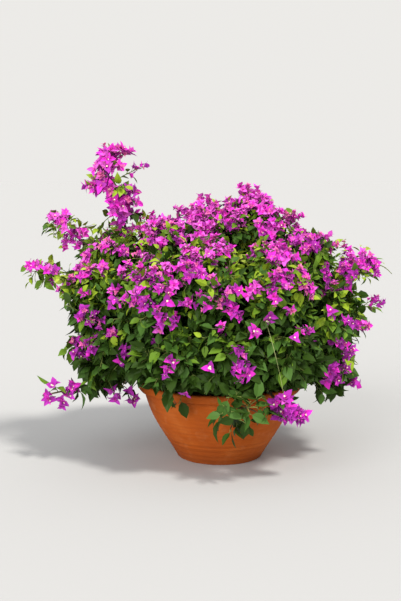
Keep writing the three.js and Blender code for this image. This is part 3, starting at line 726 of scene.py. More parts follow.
class Shapes:
    """Copies of small shapes, gathered to be joined into one mesh."""

    def __init__(self):
        self.parts = []
        self.total = 0

    def add(self, points, faces, crease=()):
        """points is (copies, corners of the shape, 3). faces and crease number the corners of one copy."""
        copies, count = points.shape[:2]
        corners = np.concatenate(faces) + (self.total + count * np.arange(copies))[:, None]
        sizes = np.tile([len(face) for face in faces], copies)
        creased = np.tile(np.isin(np.arange(count), crease), copies)
        self.parts.append((points.reshape(-1, 3), corners.ravel(), sizes, creased))
        self.total += copies * count

    def join(self, name, material, slot):
        """One mesh object of everything gathered. An edge between two creased corners stays sharp."""
        points, corners, sizes, creased = [np.concatenate(column) for column in zip(*self.parts)]
        mesh = bpy.data.meshes.new(name)
        mesh.vertices.add(self.total)
        mesh.vertices.foreach_set("co", points.astype(np.float32).ravel())
        mesh.loops.add(len(corners))
        mesh.loops.foreach_set("vertex_index", corners.astype(np.int32))
        mesh.polygons.add(len(sizes))
        mesh.polygons.foreach_set("loop_start", (np.cumsum(sizes) - sizes).astype(np.int32))
        mesh.polygons.foreach_set("use_smooth", np.ones(len(sizes), bool))
        mesh.update(calc_edges=True)
        pairs = np.zeros(len(mesh.edges) * 2, np.int32)
        mesh.edges.foreach_get("vertices", pairs)
        mesh.edges.foreach_set("use_edge_sharp", creased[pairs.reshape(-1, 2)].all(axis=1))
        mesh.materials.append(material)
        piece = put(name, mesh)
        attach(piece, "root")
        return piece


def ring_faces(rings, sides, cap_start=True, cap_end=True):
    """The faces of a tube of rings, with a flat cap at each end that is closed."""
    corners = np.arange(rings * sides).reshape(rings, sides)
    after = np.roll(corners, -1, axis=1)
    faces = np.stack([corners[:-1], after[:-1], after[1:], corners[1:]], axis=-1).reshape(-1, 4)
    return [*faces, *[corners[0, ::-1]] * cap_start, *[corners[-1]] * cap_end]


def bend(starts, controls, ends, t):
    """Places and directions on quadratic curves at the shares t."""
    places = (1 - t) ** 2 * starts + 2 * t * (1 - t) * controls + t**2 * ends
    return places, unit((1 - t) * (controls - starts) + t * (ends - controls))


def arcs(starts, controls, ends, shares):
    """Places and directions on quadratic curves, at the same shares of each: (curves, shares, 3)."""
    return bend(*[points[:, None, :] for points in (starts, controls, ends)], shares[None, :, None])


def tubes(starts, controls, ends, start_radius, end_radius, rings, sides):
    """Tapering tubes on quadratic curves, as points (tubes, rings x sides, 3) and faces."""
    shares = np.linspace(0, 1, rings)
    places, tangents = arcs(starts, controls, ends, shares)
    chord = unit(ends - starts)
    away = np.where(np.abs(chord[:, 2:3]) < 0.8, UP, np.array((1.0, 0.0, 0.0)))
    side = np.cross(chord, away)[:, None, :]
    side = unit(side - along(side, tangents) * tangents)
    other = np.cross(tangents, side)
    radii = start_radius[:, None] * (1 - shares) + end_radius[:, None] * shares
    turn = 2 * np.pi * np.arange(sides) / sides
    wheel = swing(side[:, :, None, :], other[:, :, None, :], turn)
    points = places[:, :, None, :] + wheel * radii[:, :, None, None]
    return points.reshape(len(starts), rings * sides, 3), ring_faces(rings, sides, cap_start=False)


Outline = namedtuple("Outline", "share side width faces crease")


def outline(*stations):
    """A blade from its half widths along its length, with a rib down the middle and a point at the tip.

    Each station is a share of the length and a share of the half width. A width of 0 is a single point.
    """
    corners, rows, faces = [], [], []
    for at, half in stations:
        sides = (-1, 0, 1) if half else (0,)
        rows.append(range(len(corners), len(corners) + len(sides)))
        corners += [(at, side, half) for side in sides]
    for low, high in zip(rows, rows[1:]):
        if len(low) == 1:
            faces += [(low[0], high[2], high[1]), (low[0], high[1], high[0])]
        elif len(high) == 1:
            faces += [(low[1], low[2], high[0]), (low[0], low[1], high[0])]
        else:
            faces += [(low[1], low[2], high[2], high[1]), (low[0], low[1], high[1], high[0])]
    share, side, width = np.array(corners).T
    return Outline(share, side, width, faces, np.flatnonzero(side == 0))


LEAF = outline((0, 0), (0.13, 0.62), (0.36, 1), (0.63, 0.72), (0.85, 0.27), (1, 0))
SHADE_LEAF = outline((0, 0), (0.30, 1), (0.68, 0.66), (1, 0))
BRACT = outline((0, 0.22), (0.30, 0.96), (0.64, 0.66), (1, 0))


def blades(shape, at, forward, facing, length, width, curl, fold, ripple):
    """Blades that leave a place in a direction and face another, bent down by curl and folded up by fold.

    All are arrays with a row for each blade. Width is a share of the length, and so is ripple, the height of
    the waves in the edge.
    """
    side = unit(np.cross(forward, facing))
    normal = np.cross(side, forward)
    angle = curl[:, None] * shape.share
    half = shape.width * width[:, None]
    wave = ripple[:, None] * np.sin(weigh(EDGE_WAVES, shape.share, shape.side, width[:, None]))
    lift = np.abs(shape.side) * (half * np.sin(fold)[:, None] + wave)
    spread = shape.side * half * np.cos(fold)[:, None]
    x = np.sin(angle) / curl[:, None] + lift * np.sin(angle)
    z = (np.cos(angle) - 1) / curl[:, None] + lift * np.cos(angle)
    parts = ((x, forward), (z, normal), (spread, side))
    local = sum(share[:, :, None] * way[:, None, :] for share, way in parts)
    return at[:, None, :] + length[:, None, None] * local


# The wood

class Line:
    """A curve that is read by the share of its length."""

    def __init__(self, *control_points):
        level = [np.asarray(p, float)[None, :] for p in control_points]
        t = np.linspace(0, 1, 129)[:, None]
        while len(level) > 1:
            level = [(1 - t) * a + t * b for a, b in zip(level, level[1:])]
        self.points = level[0]
        steps = np.linalg.norm(np.diff(self.points, axis=0), axis=1)
        self.shares = np.concatenate([[0], np.cumsum(steps)]) / steps.sum()
        self.length = steps.sum()

    def at(self, shares):
        return np.stack([np.interp(shares, self.shares, self.points[:, i]) for i in range(3)], axis=-1)


TRUNK_LINE = Line(
    (0, 0, SOIL_TOP + CLEARANCE),
    (0, 0, SOIL_TOP + TRUNK_HEIGHT / 2),
    (TRUNK_LEAN, TRUNK_LEAN / 2, SOIL_TOP + TRUNK_HEIGHT),
)


class Space:
    """A mass's own space: its ellipsoid, on its own side of the plane that parts it from each other mass."""

    def __init__(self, mass):
        others = [m for m in MASSES if m is not mass]
        self.middle = np.array(mass.middle)
        self.half = np.array(mass.half)
        offsets = np.array([m.middle for m in others]) - self.middle
        apart = np.linalg.norm(offsets, axis=1)
        weights = np.array([np.mean(m.half) for m in others]) ** 2
        self.normals = offsets / apart[:, None]
        self.distances = (apart**2 + np.mean(self.half) ** 2 - weights) / (2 * apart) - SPACE_MARGIN

    def outside(self, directions):
        return 1 / np.linalg.norm(directions / self.half, axis=-1)

    def reach(self, directions):
        facing = directions @ self.normals.T
        walls = np.where(facing > TINY, self.distances / np.maximum(facing, TINY), np.inf)
        return np.minimum(self.outside(directions), walls.min(axis=-1))


Bough = namedtuple("Bough", "line towards base_radius")


def plan_boughs(spaces):
    """Every bough by the name of its mass, on the same curves as the solids."""
    boughs = {}
    for mass in MASSES:
        space = spaces[mass.name]
        parent = boughs[mass.parent].line if mass.parent else TRUNK_LINE
        start = parent.at(mass.share)
        towards = unit(space.middle - start)
        into = INTO_DENSE if mass.dense else INTO_OPEN
        end = space.middle - towards * space.reach(-towards) * into
        length = np.linalg.norm(end - start)
        outwards = unit(towards + UP * BOUGH_RISE)
        line = Line(start, start + outwards * length / 3, end - towards * length / 3, end)
        boughs[mass.name] = Bough(line, towards, BOUGH_BASE_RADIUS + BOUGH_RADIUS_PER_LENGTH * length)
    return boughs


def bark_tube(line, radius_at, sides, seed):
    """A closed limb with ridges, pits and swellings, as points (1, count, 3) and faces."""
    rings = max(6, round(line.length / BARK_RING))
    across, lengthwise = BARK_RIDGES
    shares = np.linspace(0, 1, rings)
    centres = line.at(shares)
    tangents = unit(np.gradient(centres, axis=0))
    side = np.cross(tangents[0], UP if abs(tangents[0][2]) < 0.8 else np.array((1.0, 0, 0)))
    points = []
    for share, centre, tangent in zip(shares, centres, tangents):
        side = unit(side - np.dot(side, tangent) * tangent)
        other = np.cross(tangent, side)
        run = share * line.length
        for turn in 2 * math.pi * np.arange(sides) / sides:
            cos, sin = math.cos(turn), math.sin(turn)
            ridges = noise.noise(Vector((across * cos, across * sin, lengthwise * run + 2 * seed)))
            knots = noise.noise(Vector((cos, sin, BARK_KNOTS * run + seed)))
            radius = radius_at(share, turn) * (1 + BARK_RELIEF * (ridges + 0.6 * knots))
            points.append(centre + radius * (cos * side + sin * other))
    return np.array(points)[None, :, :], ring_faces(rings, sides)


def trunk_radius(share, turn):
    flare_radius, waist_radius, top_radius = TRUNK_RADII
    flare = math.exp(-share / TRUNK_FLARE_FADE)
    lobes = 1 + TRUNK_LOBE_DEPTH * flare * math.cos(TRUNK_LOBES * turn)
    shaft = waist_radius + (top_radius - waist_radius) * share
    into_top = max(0, share - 1 + TRUNK_TOP_ROUND) / TRUNK_TOP_ROUND
    rounded = math.sqrt(max(0.05, 1 - into_top**2))
    return rounded * (shaft + (flare_radius - waist_radius) * flare) * lobes


def tapering(thick, thin):
    return lambda share, turn: thick + (thin - thick) * share


def add_wood(boughs):
    wood = Shapes()
    wood.add(*bark_tube(TRUNK_LINE, trunk_radius, TRUNK_SIDES, 0))
    for number, bough in enumerate(boughs.values()):
        radius_at = tapering(bough.base_radius * BOUGH_SWELL, BOUGH_TIP_RADIUS)
        wood.add(*bark_tube(bough.line, radius_at, BOUGH_SIDES, 7.3 * number + 3))
    piece = wood.join("trunk_and_boughs", bark("bark", *BARK_COLOURS), "bark")
    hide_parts("trunk", *["bough_" + name for name in boughs])


# The crown

def in_bowl(points):
    """True for points in the bowl, in its wall or under its lip, with a little room round it."""
    from_axis = np.hypot(points[..., 0], points[..., 1])
    return (points[..., 2] < BOWL_HEIGHT + BOWL_MARGIN) & (from_axis < RIM_RADIUS + BOWL_MARGIN)


def over_rim(points):
    """True for points that would hang down over the rim, under a slope up and out from it."""
    beyond = np.hypot(points[..., 0], points[..., 1]) - RIM_RADIUS
    lowest = BOWL_HEIGHT + BOWL_MARGIN + UNDERSIDE_SLOPE * beyond
    gap = np.where(np.abs(points[..., 1]) > UNDERSIDE_FROM, UNDERSIDE_GAP, CURTAIN_GAP)
    return (points[..., 2] < lowest) & (beyond < gap)


def in_box(points):
    """True for points within the box of the solids, or very little outside it."""
    low, high = np.array(CAD_BOX[0]) - BOX_MARGIN, np.array(CAD_BOX[1]) + BOX_MARGIN
    return np.all((points > low) & (points < high), axis=-1)


def free(points):
    """True for rows of points that all lie in the box of the solids and clear of the bowl."""
    return (in_box(points) & ~in_bowl(points)).all(axis=1)


def golden_directions(count, turn):
    index = np.arange(count)
    height = 1 - (2 * index + 1) / count
    across = np.sqrt(1 - height**2)
    angle = GOLDEN_ANGLE * index + turn
    return np.stack([across * np.cos(angle), across * np.sin(angle), height], axis=-1)


def farthest_first(directions, count):
    """Some of the directions, each the farthest from all that come before it."""
    chosen = [0]
    gaps = np.linalg.norm(directions - directions[0], axis=1)
    while len(chosen) < min(count, len(directions)):
        chosen.append(int(np.argmax(gaps)))
        gaps = np.minimum(gaps, np.linalg.norm(directions - directions[chosen[-1]], axis=1))
    return directions[chosen]


def open_directions(mass, space, towards, spacing, turn, all_round=False):
    """Directions over the open side of a mass, as far apart as spacing at the middle size of its space."""
    area = 4 * math.pi * np.mean(space.half) ** 2
    directions = golden_directions(max(8, round(area / spacing**2)), turn)
    reach = space.reach(directions)
    if all_round or not mass.dense:
        return directions[reach > SHORTEST_REACH]
    at_seam = reach < SEAM_SHARE * space.outside(directions)
    facing_in = directions @ towards < -INWARD_LIMIT
    return directions[(reach > SHORTEST_REACH) & ~at_seam & ~facing_in]


def patchiness(points, size=PATCH_SIZE):
    """A smooth noise from about -1 to 1 that gathers blossom and young leaves into patches."""
    return np.array([noise.noise(Vector(p) / size) for p in points])


def leafiness(points):
    """How far each point is inside one of the leafy places, from 0 to 1."""
    inside = [1 - np.linalg.norm(points - place, axis=1) / radius for *place, radius in LEAFY_PLACES]
    return np.clip(2 * np.max(inside, axis=0), 0, 1)


def short_of_clearings(space, directions, distance):
    """The distances from the middle of a mass, each cut short where it would come into a clearing."""
    for *place, radius in CLEARINGS:
        offset = place - space.middle
        ahead = directions @ offset
        depth = ahead**2 + radius**2 - offset @ offset
        entry = ahead - np.sqrt(np.maximum(depth, 0))
        distance = np.where((depth > 0) & (entry > 0), np.minimum(distance, entry), distance)
    return distance


# Limbs and shoots are columns, with a row for each. A shoot has the way out of its mass, its number of
# flowers, whether it is an inner one, the growth of its flowers, and whether it may hang over the rim.
Limbs = namedtuple("Limbs", "starts controls ends radii")
Shoots = namedtuple("Shoots", "starts controls ends outward flowers inner size trails")


def plan_limbs(mass, space, bough, turn):
    """The stem on from the bough's tip, and in a dense mass the limbs that branch from it."""
    start = bough.line.points[-1]
    stem_reach = 0 if mass.dense else STEM_REACH * space.reach(bough.towards)
    stem_end = space.middle + bough.towards * stem_reach
    rows = [(start, (start + stem_end) / 2, stem_end, BOUGH_TIP_RADIUS)]
    if mass.dense:
        directions = open_directions(mass, space, bough.towards, LIMB_SPACING, turn)
        for number, direction in enumerate(farthest_first(directions, LIMBS)):
            begin = start + (stem_end - start) * (1 + number * GOLDEN_SHARE % 1) / 2
            end = space.middle + direction * space.reach(direction) * LIMB_REACH
            lifted = (begin + end) / 2 + UP * LIMB_RISE * np.linalg.norm(end - begin)
            rows.append((begin, lifted, end, LIMB_RADIUS))
    return Limbs(*[np.array(column) for column in zip(*rows)])


def grow_shoots(ends, limbs, outward, flowers, inner, mass):
    """Shoots from the nearest limbs to the places where they end.

    A shoot leaves its limb some way before the nearest place, so that it slants forwards.
    """
    shares = np.linspace(0.1, 1, 12)
    places = arcs(*limbs[:3], shares)[0].reshape(-1, 3)
    gaps = np.linalg.norm(ends[:, None, :] - places[None, :, :], axis=2)
    slant = 1 - SLANT * (1 - np.tile(shares, len(limbs.starts)))
    starts = places[np.argmin(gaps * slant, axis=1)]
    lengths = np.linalg.norm(ends - starts, axis=1, keepdims=True)
    arch = np.where(outward[:, 2:3] < ARCHING_BELOW, *ARCHES)
    controls = (starts + ends) / 2 + UP * arch * lengths
    shared = (inner, GROWTH.get(mass.name, 1.0), mass.name in TRAILING)
    columns = [np.full(len(ends), value) for value in shared]
    return Shoots(starts, controls, ends, outward, flowers, *columns)


def truss_counts(places, random):
    """How many flowers a blooming shoot has: from one or two low down to a full truss at the top."""
    share = rise(places[:, 2], *TRUSS_HEIGHTS) * random.uniform(*FLOWER_CHANCE, len(places))
    return np.round(FEWEST_FLOWERS + MORE_FLOWERS * share).astype(int)


def plan_shoots(mass, space, bough, limbs, number):
    """The outer shoots, which may bloom, and the inner leafy ones that fill the crown behind them."""
    random = np.random.default_rng(number)
    loose = mass.name in LOOSE
    planned = []

    def plan(directions, distance, flowers, inner):
        ends = space.middle + directions * distance[:, None]
        keep = ~in_bowl(ends)
        planned.append(grow_shoots(ends[keep], limbs, directions[keep], flowers[keep], inner, mass))

    spacing = LOOSE_SPACING if loose else OUTER_SPACING
    directions = open_directions(mass, space, bough.towards, spacing, number)
    count = len(directions)
    directions = unit(directions + random.normal(0, DIRECTION_JITTER, (count, 3)))
    reach = space.reach(directions)
    places = space.middle + directions * reach[:, None]
    chance = mass.bloom + BLOOM_ON_TOP * directions[:, 2] + BLOOM_IN_PATCHES * patchiness(places)
    in_front = (directions[:, 1:] < FRONT_FACING).all(axis=1)
    chance *= np.where(in_front, BLOOM_IN_FRONT, 1) * (1 - leafiness(places))
    blooms = random.random(count) < chance
    flowers = np.where(blooms, truss_counts(places, random), 0)
    # Hollows and long shoots make the outline ragged.
    hollows = patchiness(places + HOLLOW_SHIFT, HOLLOW_SIZE)
    hollows += random.uniform(-HOLLOW_CHANCE, HOLLOW_CHANCE, count)
    distance = reach * (1 - mass.ragged * (HOLLOW_LEAST + np.clip(hollows, -HOLLOW_LEAST, 1)))
    distance -= np.where(blooms, TRUSS_STAND_BACK, TIP_STAND_BACK + TIP_BEHIND_BLOOM * mass.bloom)
    long = random.random(count) < LONG_SHOOTS
    distance[long] = (reach + random.uniform(*LONG_BY, count) - TRUSS_STAND_BACK)[long]
    distance = short_of_clearings(space, directions, np.maximum(distance, SHORTEST_SHARE * reach))
    plan(directions, distance, flowers, False)
    for layer, (spacing, shares, all_round) in enumerate(() if loose else INNER_LAYERS):
        directions = open_directions(mass, space, bough.towards, spacing, number + 2.0 * layer, all_round)
        distance = short_of_clearings(space, directions, space.reach(directions))
        distance *= random.uniform(*shares, len(directions))
        plan(directions, distance, np.zeros(len(directions), int), True)
    return planned


def place_sprays():
    """Where the sprays end, how many flowers they have, and the numbers of the masses that carry them.

    A spray ends where the line of sight to it comes into a mass, a little way inside its reach, or where
    that line passes closest to one.
    """
    rows = np.array([row for group in SPRAYS.values() for row in group], float)
    across, down = ((rows[:, :2] - PHOTO_MIDDLE) / FOCAL_PIXELS).T
    cos, sin = math.cos(CAMERA_PITCH), math.sin(CAMERA_PITCH)
    sight = np.stack([across, cos - down * sin, -sin - down * cos], axis=-1)
    half = SPRAY_DEPTH * np.array([mass.half for mass in MASSES])
    start = (CAMERA_AT - [mass.middle for mass in MASSES]) / half
    step = sight[:, None, :] / half
    a, b, c = np.sum(step * step, axis=2), np.sum(start * step, axis=2), np.sum(start * start, axis=1) - 1
    inside = b * b - a * c
    t = (-b - np.sqrt(np.maximum(inside, 0))) / a
    carrier = np.argmin(np.where(inside > 0, t, FAR - inside / a), axis=1)
    return CAMERA_AT + t[np.arange(len(t)), carrier][:, None] * sight, rows[:, 2], carrier


def plan_sprays(mass, space, limbs, ends, flowers):
    """The shoots of a mass that end in the sprays placed on it."""
    flowers = np.round(flowers * np.where(flowers < TRUSS_FROM, 1, TRUSS_FILL)).astype(int)
    shoots = grow_shoots(ends, limbs, unit(ends - space.middle), flowers, False, mass)
    return shoots._replace(trails=np.full(len(ends), True))


def clear_of_bowl(shoots):
    """The shoots whose whole way is clear of the bowl."""
    ways = arcs(*shoots[:3], np.linspace(0.2, 1, 6))[0]
    keep = ~in_bowl(ways).any(axis=1) & (shoots.trails | ~over_rim(ways).any(axis=1))
    return Shoots(*[column[keep] for column in shoots])


def along_shoots(shoots, owner, share):
    """Places and directions at a share of the way along the shoots that the owners number."""
    return bend(*[points[owner] for points in shoots[:3]], share[:, None])


def leaf_scores(shoots, random):
    """Painted sun on each shoot's leaves, up to the young colour; low in the crown and inside it, painted
    shade.
    """
    ends = shoots.ends
    height, flank = rise(ends[:, 2], *SUNNY_HEIGHTS), rise(np.abs(ends[:, 0]), *SUNNY_FLANKS)
    patches = patchiness(ends + SUN_SHIFT)
    values = (1, height, shoots.outward[:, 2], patches, leafiness(ends), flank, shoots.inner)
    return weigh(SUN_WEIGHTS, *values) + random.normal(0, SUN_BY_SHOOT, len(ends))


def add_leaves(shoots):
    """Leaves in turn round each shoot, from the old ones near its foot to the small ones at its tip."""
    random = np.random.default_rng(LEAF_SEED)
    lengths = np.linalg.norm(shoots.ends - shoots.starts, axis=1)
    spacing = NODE_SPACING * np.where(shoots.inner, INNER_NODES, 1)
    counts = np.maximum(FEWEST_LEAVES, np.round(lengths * (1 - LEAFY_FROM) / spacing)).astype(int)
    owner, order = deal(counts)
    count = len(owner)
    share = LEAFY_FROM + (1 - LEAFY_FROM) * (order + random.uniform(0.5, 1, count)) / counts[owner]
    at, tangent = along_shoots(shoots, owner, share)
    outward, inner, height = shoots.outward[owner], shoots.inner[owner], at[:, 2]
    radial = around(tangent, UP + 0.01 * outward, GOLDEN_ANGLE * order + LEAF_TURN * owner)
    hang = np.clip(HANG_BELOW - shoots.ends[owner, 2], *HANG)[:, None]
    hang = hang + random.uniform(*HANG_CHANCE, (count, 1))
    sway = random.normal(0, LEAF_SWAY, (count, 3))
    forward = unit(weigh(LEAF_WAY, tangent, radial, outward) - UP * hang + sway)
    facing = weigh(LEAF_FACING, outward, UP) + random.normal(0, LEAF_TWIST, (count, 3))
    facing = unit(facing - along(facing, forward) * forward)
    tip = rise(share, TIP_FROM, 1)
    size = random.uniform(*LEAF_LENGTH, count) * (1 - TIP_SHRINK * tip)
    size *= 1 + LEAF_SHARE * (shoots.size[owner] - 1)
    size *= np.interp(height, LEAF_HEIGHTS, LEAF_GROWTH)
    foot = at + forward * PETIOLE * (1 - PETIOLE_SHRINK * tip)[:, None]
    columns = (foot, forward, facing, size, *[random.uniform(*limits, count) for limits in LEAF_SHAPE])
    middle_and_tip = np.array((0.4, 1.0))[:, None]
    reached = foot[:, None, :] + forward[:, None, :] * size[:, None, None] * middle_and_tip
    keep = free(reached) & (shoots.trails[owner] | ~over_rim(reached).any(axis=1))
    truss = 1.1 * TRUSS_LENGTH * (shoots.flowers > 0) / np.maximum(lengths, 0.02)
    keep &= (share < 1 - truss[owner]) | (random.random(count) < LEAVES_IN_TRUSS)
    # Each leaf's colour is dealt by painted sun and painted shade, and tips high up lean to the young colour.
    scores = leaf_scores(shoots, random)[owner] + np.interp(height, TENDER_HEIGHTS, TENDER_TIPS) * tip
    group = np.searchsorted(LEAF_STEPS, scores + random.normal(0, SUN_BY_LEAF, count))
    for number, (name, colour) in enumerate(LEAF_COLOURS.items()):
        shapes = Shapes()
        for shape, layer in ((LEAF, ~inner), (SHADE_LEAF, inner)):
            chosen = keep & layer & (group == number)
            shapes.add(blades(shape, *[column[chosen] for column in columns]), shape.faces, shape.crease)
        piece = shapes.join("leaves_" + name, plain("leaf_" + name, colour, LEAF_ROUGHNESS), "leaves")
        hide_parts(*MASS_NODES["foliage_"])
    seen = keep & ~inner
    return at[seen], (at + foot)[seen] / 2, foot[seen] + forward[seen] * STALK_OVERLAP


def add_trusses(shoots):
    """Flowers in turn round the last stretch of each blooming shoot, on short stalks."""
    random = np.random.default_rng(FLOWER_SEED)
    counts = shoots.flowers
    owner, order = deal(counts)
    total = len(owner)
    outward, growth, single = shoots.outward[owner], shoots.size[owner], counts[owner] < TRUSS_FROM
    step = (order + random.uniform(0, 0.6, total)) / counts[owner]
    length = np.linalg.norm(shoots.ends - shoots.starts, axis=1)[owner]
    stretch = TRUSS_LENGTH * np.sqrt(counts[owner] / TRUSS_OF) * growth
    at, tangent = along_shoots(shoots, owner, np.clip(1 - stretch * step / length, 0.2, 1))
    radial = around(tangent, UP + 0.013 * outward, GOLDEN_ANGLE * order + FLOWER_TURN * owner)
    stalk = swing(tangent, radial, weigh(PEDICEL_LEAN, 1, step))
    stalk = unit(stalk + weigh(PEDICEL_WAY, outward, UP) + random.normal(0, PEDICEL_SWAY, (total, 3)))
    head = at + stalk * random.uniform(*PEDICEL, (total, 1)) * weigh(PEDICEL_GROWTH, 1, step[:, None])
    height = head[:, 2]
    facing_out = np.where(single, *FLOWER_FACING)[:, None]
    axis = unit(stalk + facing_out * outward + random.normal(0, FLOWER_SWAY, (total, 3)))
    young = random.random(total) < YOUNG_ANYWHERE
    young |= (step < TRUSS_TIP) & ~single & (random.random(total) < YOUNG_AT_TIP)
    young &= height > YOUNG_ABOVE
    bract = random.uniform(*BRACT_LENGTH, total) * growth * np.where(young, YOUNG_GROWTH, 1)
    low_growth = np.interp(height, LOW_FLOWER_HEIGHTS, (LOW_FLOWER_GROWTH, 1))
    bract *= np.where(single, SINGLE_BLOOM_GROWTH, low_growth)
    # Bracts high up and facing up get brighter tones as painted light, low ones the violet of painted shade;
    # singles and larger ones are darker.
    tone = random.normal(0, TONE_SPREAD, len(counts))[owner] + random.normal(0, TONE_SPREAD, total)
    larger = np.maximum(growth - 1, 0)
    tone += weigh(TONE_WEIGHTS, outward[:, 2], rise(height, *TONE_HEIGHTS), single, larger)
    group = np.searchsorted(np.quantile(tone, np.cumsum(BRACT_SHARES)[:-1]), tone)
    group[young] = YOUNG_TONE
    add_bracts(head, axis, bract, group, single, random)
    return at, (at + head) / 2 + tangent * STALK_OVERLAP, head


def add_bracts(at, axis, length, group, single, random):
    """Three bracts round each flower's axis, open like a wide cup, with tube flowers inside."""
    total = len(at)
    start = random.uniform(0, 2 * np.pi, total)
    open_angle = random.uniform(*BRACT_OPEN, total) + SINGLE_OPENS * single
    tips = at + axis * length[:, None]
    keep = free(np.stack([at, tips], axis=1))
    by_tone = {name: Shapes() for name in BRACT_COLOURS}
    flower_tubes, stars = Shapes(), Shapes()
    for number in range(3):
        turn = start + number * 2 * np.pi / 3 + random.normal(0, BRACT_CHANCE, total)
        radial = around(axis, UP + np.array((0.011, 0.017, 0)), turn)
        angle = open_angle + random.normal(0, BRACT_CHANCE, total)
        apart, *varied = [random.uniform(*limits, total) for limits in BRACT_SHAPE]
        way, facing = swing(axis, radial, angle), swing(-radial, axis, angle)
        points = blades(BRACT, at, way, facing, length * apart, *varied)
        inside = keep & free(points)
        chance = random.random(total)
        shift = (chance < OTHER_TONE).astype(int) - (chance > 1 - OTHER_TONE)
        tones = np.where(group < YOUNG_TONE, np.clip(group + shift, 0, YOUNG_TONE - 1), YOUNG_TONE)
        for level, shapes in enumerate(by_tone.values()):
            shapes.add(points[inside & (tones == level)], BRACT.faces, BRACT.crease)
        has_tube = keep & (random.random(total) < TUBE_SHARES[number])
        reach = length * random.uniform(*TUBE_LENGTH, total)
        columns = (at, axis, radial, angle, length, reach, single)
        add_tubes(flower_tubes, stars, number, *[column[has_tube] for column in columns], random)
    for name, colour in BRACT_COLOURS.items():
        piece = by_tone[name].join("bracts_" + name, plain("bract_" + name, colour, *BRACT_FINISH), "bracts")
        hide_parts(*MASS_NODES["blossom_"])
    flower_tubes.join("flower_tubes", plain("flower_tube", *TUBE_LOOK), "bracts")
    stars.join("flower_stars", plain("flower_star", *STAR_LOOK), "bracts")


def add_tubes(flower_tubes, stars, number, at, axis, radial, angle, length, reach, single, random):
    """A thin tube flower inside each bract, some of them open in a star."""
    way = swing(axis, radial, TUBE_LEAN * angle)
    end = at + way * reach[:, None]
    radius = TUBE_RADIUS * length
    flower_tubes.add(*tubes(at, (at + end) / 2, end, radius, TUBE_FLARE * radius, *STALK_MESH))
    open_share = np.where(at[:, 2] < YOUNG_ABOVE, OPEN_SHARE_LOW, OPEN_SHARE)
    opened = (random.random(len(at)) < open_share) | (single & (number == 0))
    size = np.where(single, *STAR_RADII) * length
    stars.add(*star(end[opened], way[opened], size[opened], random))


def star(at, axis, radius, random):
    """Small five-lobed stars across an axis, as points (stars, 11, 3) and faces."""
    corner = np.arange(STAR_CORNERS)
    turn = 2 * np.pi * corner / STAR_CORNERS + random.uniform(0, 1, (len(at), 1))
    size, lift = [np.where(corner % 2, *pair) * radius[:, None] for pair in (STAR_SHAPE, STAR_LIFT)]
    across = around(axis[:, None, :], UP + np.array((0.019, 0.005, 0)), turn)
    rim = at[:, None, :] + size[..., None] * across + lift[..., None] * axis[:, None, :]
    faces = [(i, (i + 1) % STAR_CORNERS, STAR_CORNERS) for i in corner]
    return np.concatenate([rim, at[:, None, :]], axis=1), faces


def add_twigs(limbs, shoots, petioles, pedicels):
    """The limbs inside the masses in bark, and the shoots, leaf stalks and flower stalks in green."""
    woody, green, bare, stalks = [Shapes() for _ in range(4)]
    for group in limbs:
        woody.add(*tubes(*group[:3], group.radii, LIMB_TAPER * group.radii, *LIMB_MESH))
    for chosen, counts in ((~shoots.inner, SHOOT_MESH), (shoots.inner, INNER_SHOOT_MESH)):
        thick = np.full(chosen.sum(), SHOOT_RADIUS)
        curves = [column[chosen] for column in shoots[:3]]
        green.add(*tubes(*curves, thick, SHOOT_TAPER * thick, *counts))
    top, foot = np.array(BARE_SHOOT)[:, None, :]
    middle = (top + foot) / 2 + BARE_SHOOT_BEND
    bare.add(*tubes(top, middle, foot, *np.array(BARE_SHOOT_RADII)[:, None], *BARE_SHOOT_MESH))
    for lines, radius in ((petioles, PETIOLE_RADIUS), (pedicels, PEDICEL_RADIUS)):
        thin = np.full(len(lines[0]), radius)
        stalks.add(*tubes(*lines, thin, thin, *STALK_MESH))
    green_skin = plain("twig_green", *TWIG_LOOK)
    woody.join("twigs_woody", bark("twig_bark", *TWIG_BARK_COLOURS), "bark")
    green.join("twigs_green", green_skin, "leaves")
    bare.join("bare_shoot", plain("bare_shoot", *BARE_SHOOT_LOOK), "leaves")
    stalks.join("stalks", green_skin, "leaves")


def grow_crown(spaces, boughs):
    limbs, planned = [], []
    ends, flowers, carrier = place_sprays()
    for number, mass in enumerate(MASSES, start=1):
        space, bough = spaces[mass.name], boughs[mass.name]
        limbs.append(plan_limbs(mass, space, bough, number))
        if mass.name not in SPRAYS_ONLY:
            planned += plan_shoots(mass, space, bough, limbs[-1], number)
        carried = carrier == number - 1
        planned.append(plan_sprays(mass, space, limbs[-1], ends[carried], flowers[carried]))
    shoots = clear_of_bowl(Shoots(*[np.concatenate(columns) for columns in zip(*planned)]))
    petioles = add_leaves(shoots)
    pedicels = add_trusses(shoots)
    add_twigs(limbs, shoots, petioles, pedicels)


# The bowl and the soil

def lathe(profile, segments, shift):
    """A closed surface turned round Z from (radius, height) points, each moved by shift(point, turn).

    The first and the last point are on the axis, and become a single pole each.
    """
    turns = 2 * math.pi * np.arange(segments) / segments
    points = [shift(radius, height, turn) for radius, height in profile[1:-1] for turn in turns]
    faces = ring_faces(len(profile) - 2, segments, cap_start=False, cap_end=False)
    end = len(points)
    for s in range(segments):
        after = (s + 1) % segments
        faces += [(after, s, end), (end - segments + s, end - segments + after, end + 1)]
    points += [shift(*pole, 0) for pole in (profile[0], profile[-1])]
    return np.array(points)[None, :, :], faces


def arc_points(centre, radius, from_degrees, to_degrees, steps=5):
    """Points on an arc in the profile, where 0 degrees is outwards and 90 is up."""
    for angle in np.radians(np.linspace(from_degrees, to_degrees, steps)):
        yield (centre[0] + radius * math.cos(angle), centre[1] + radius * math.sin(angle))


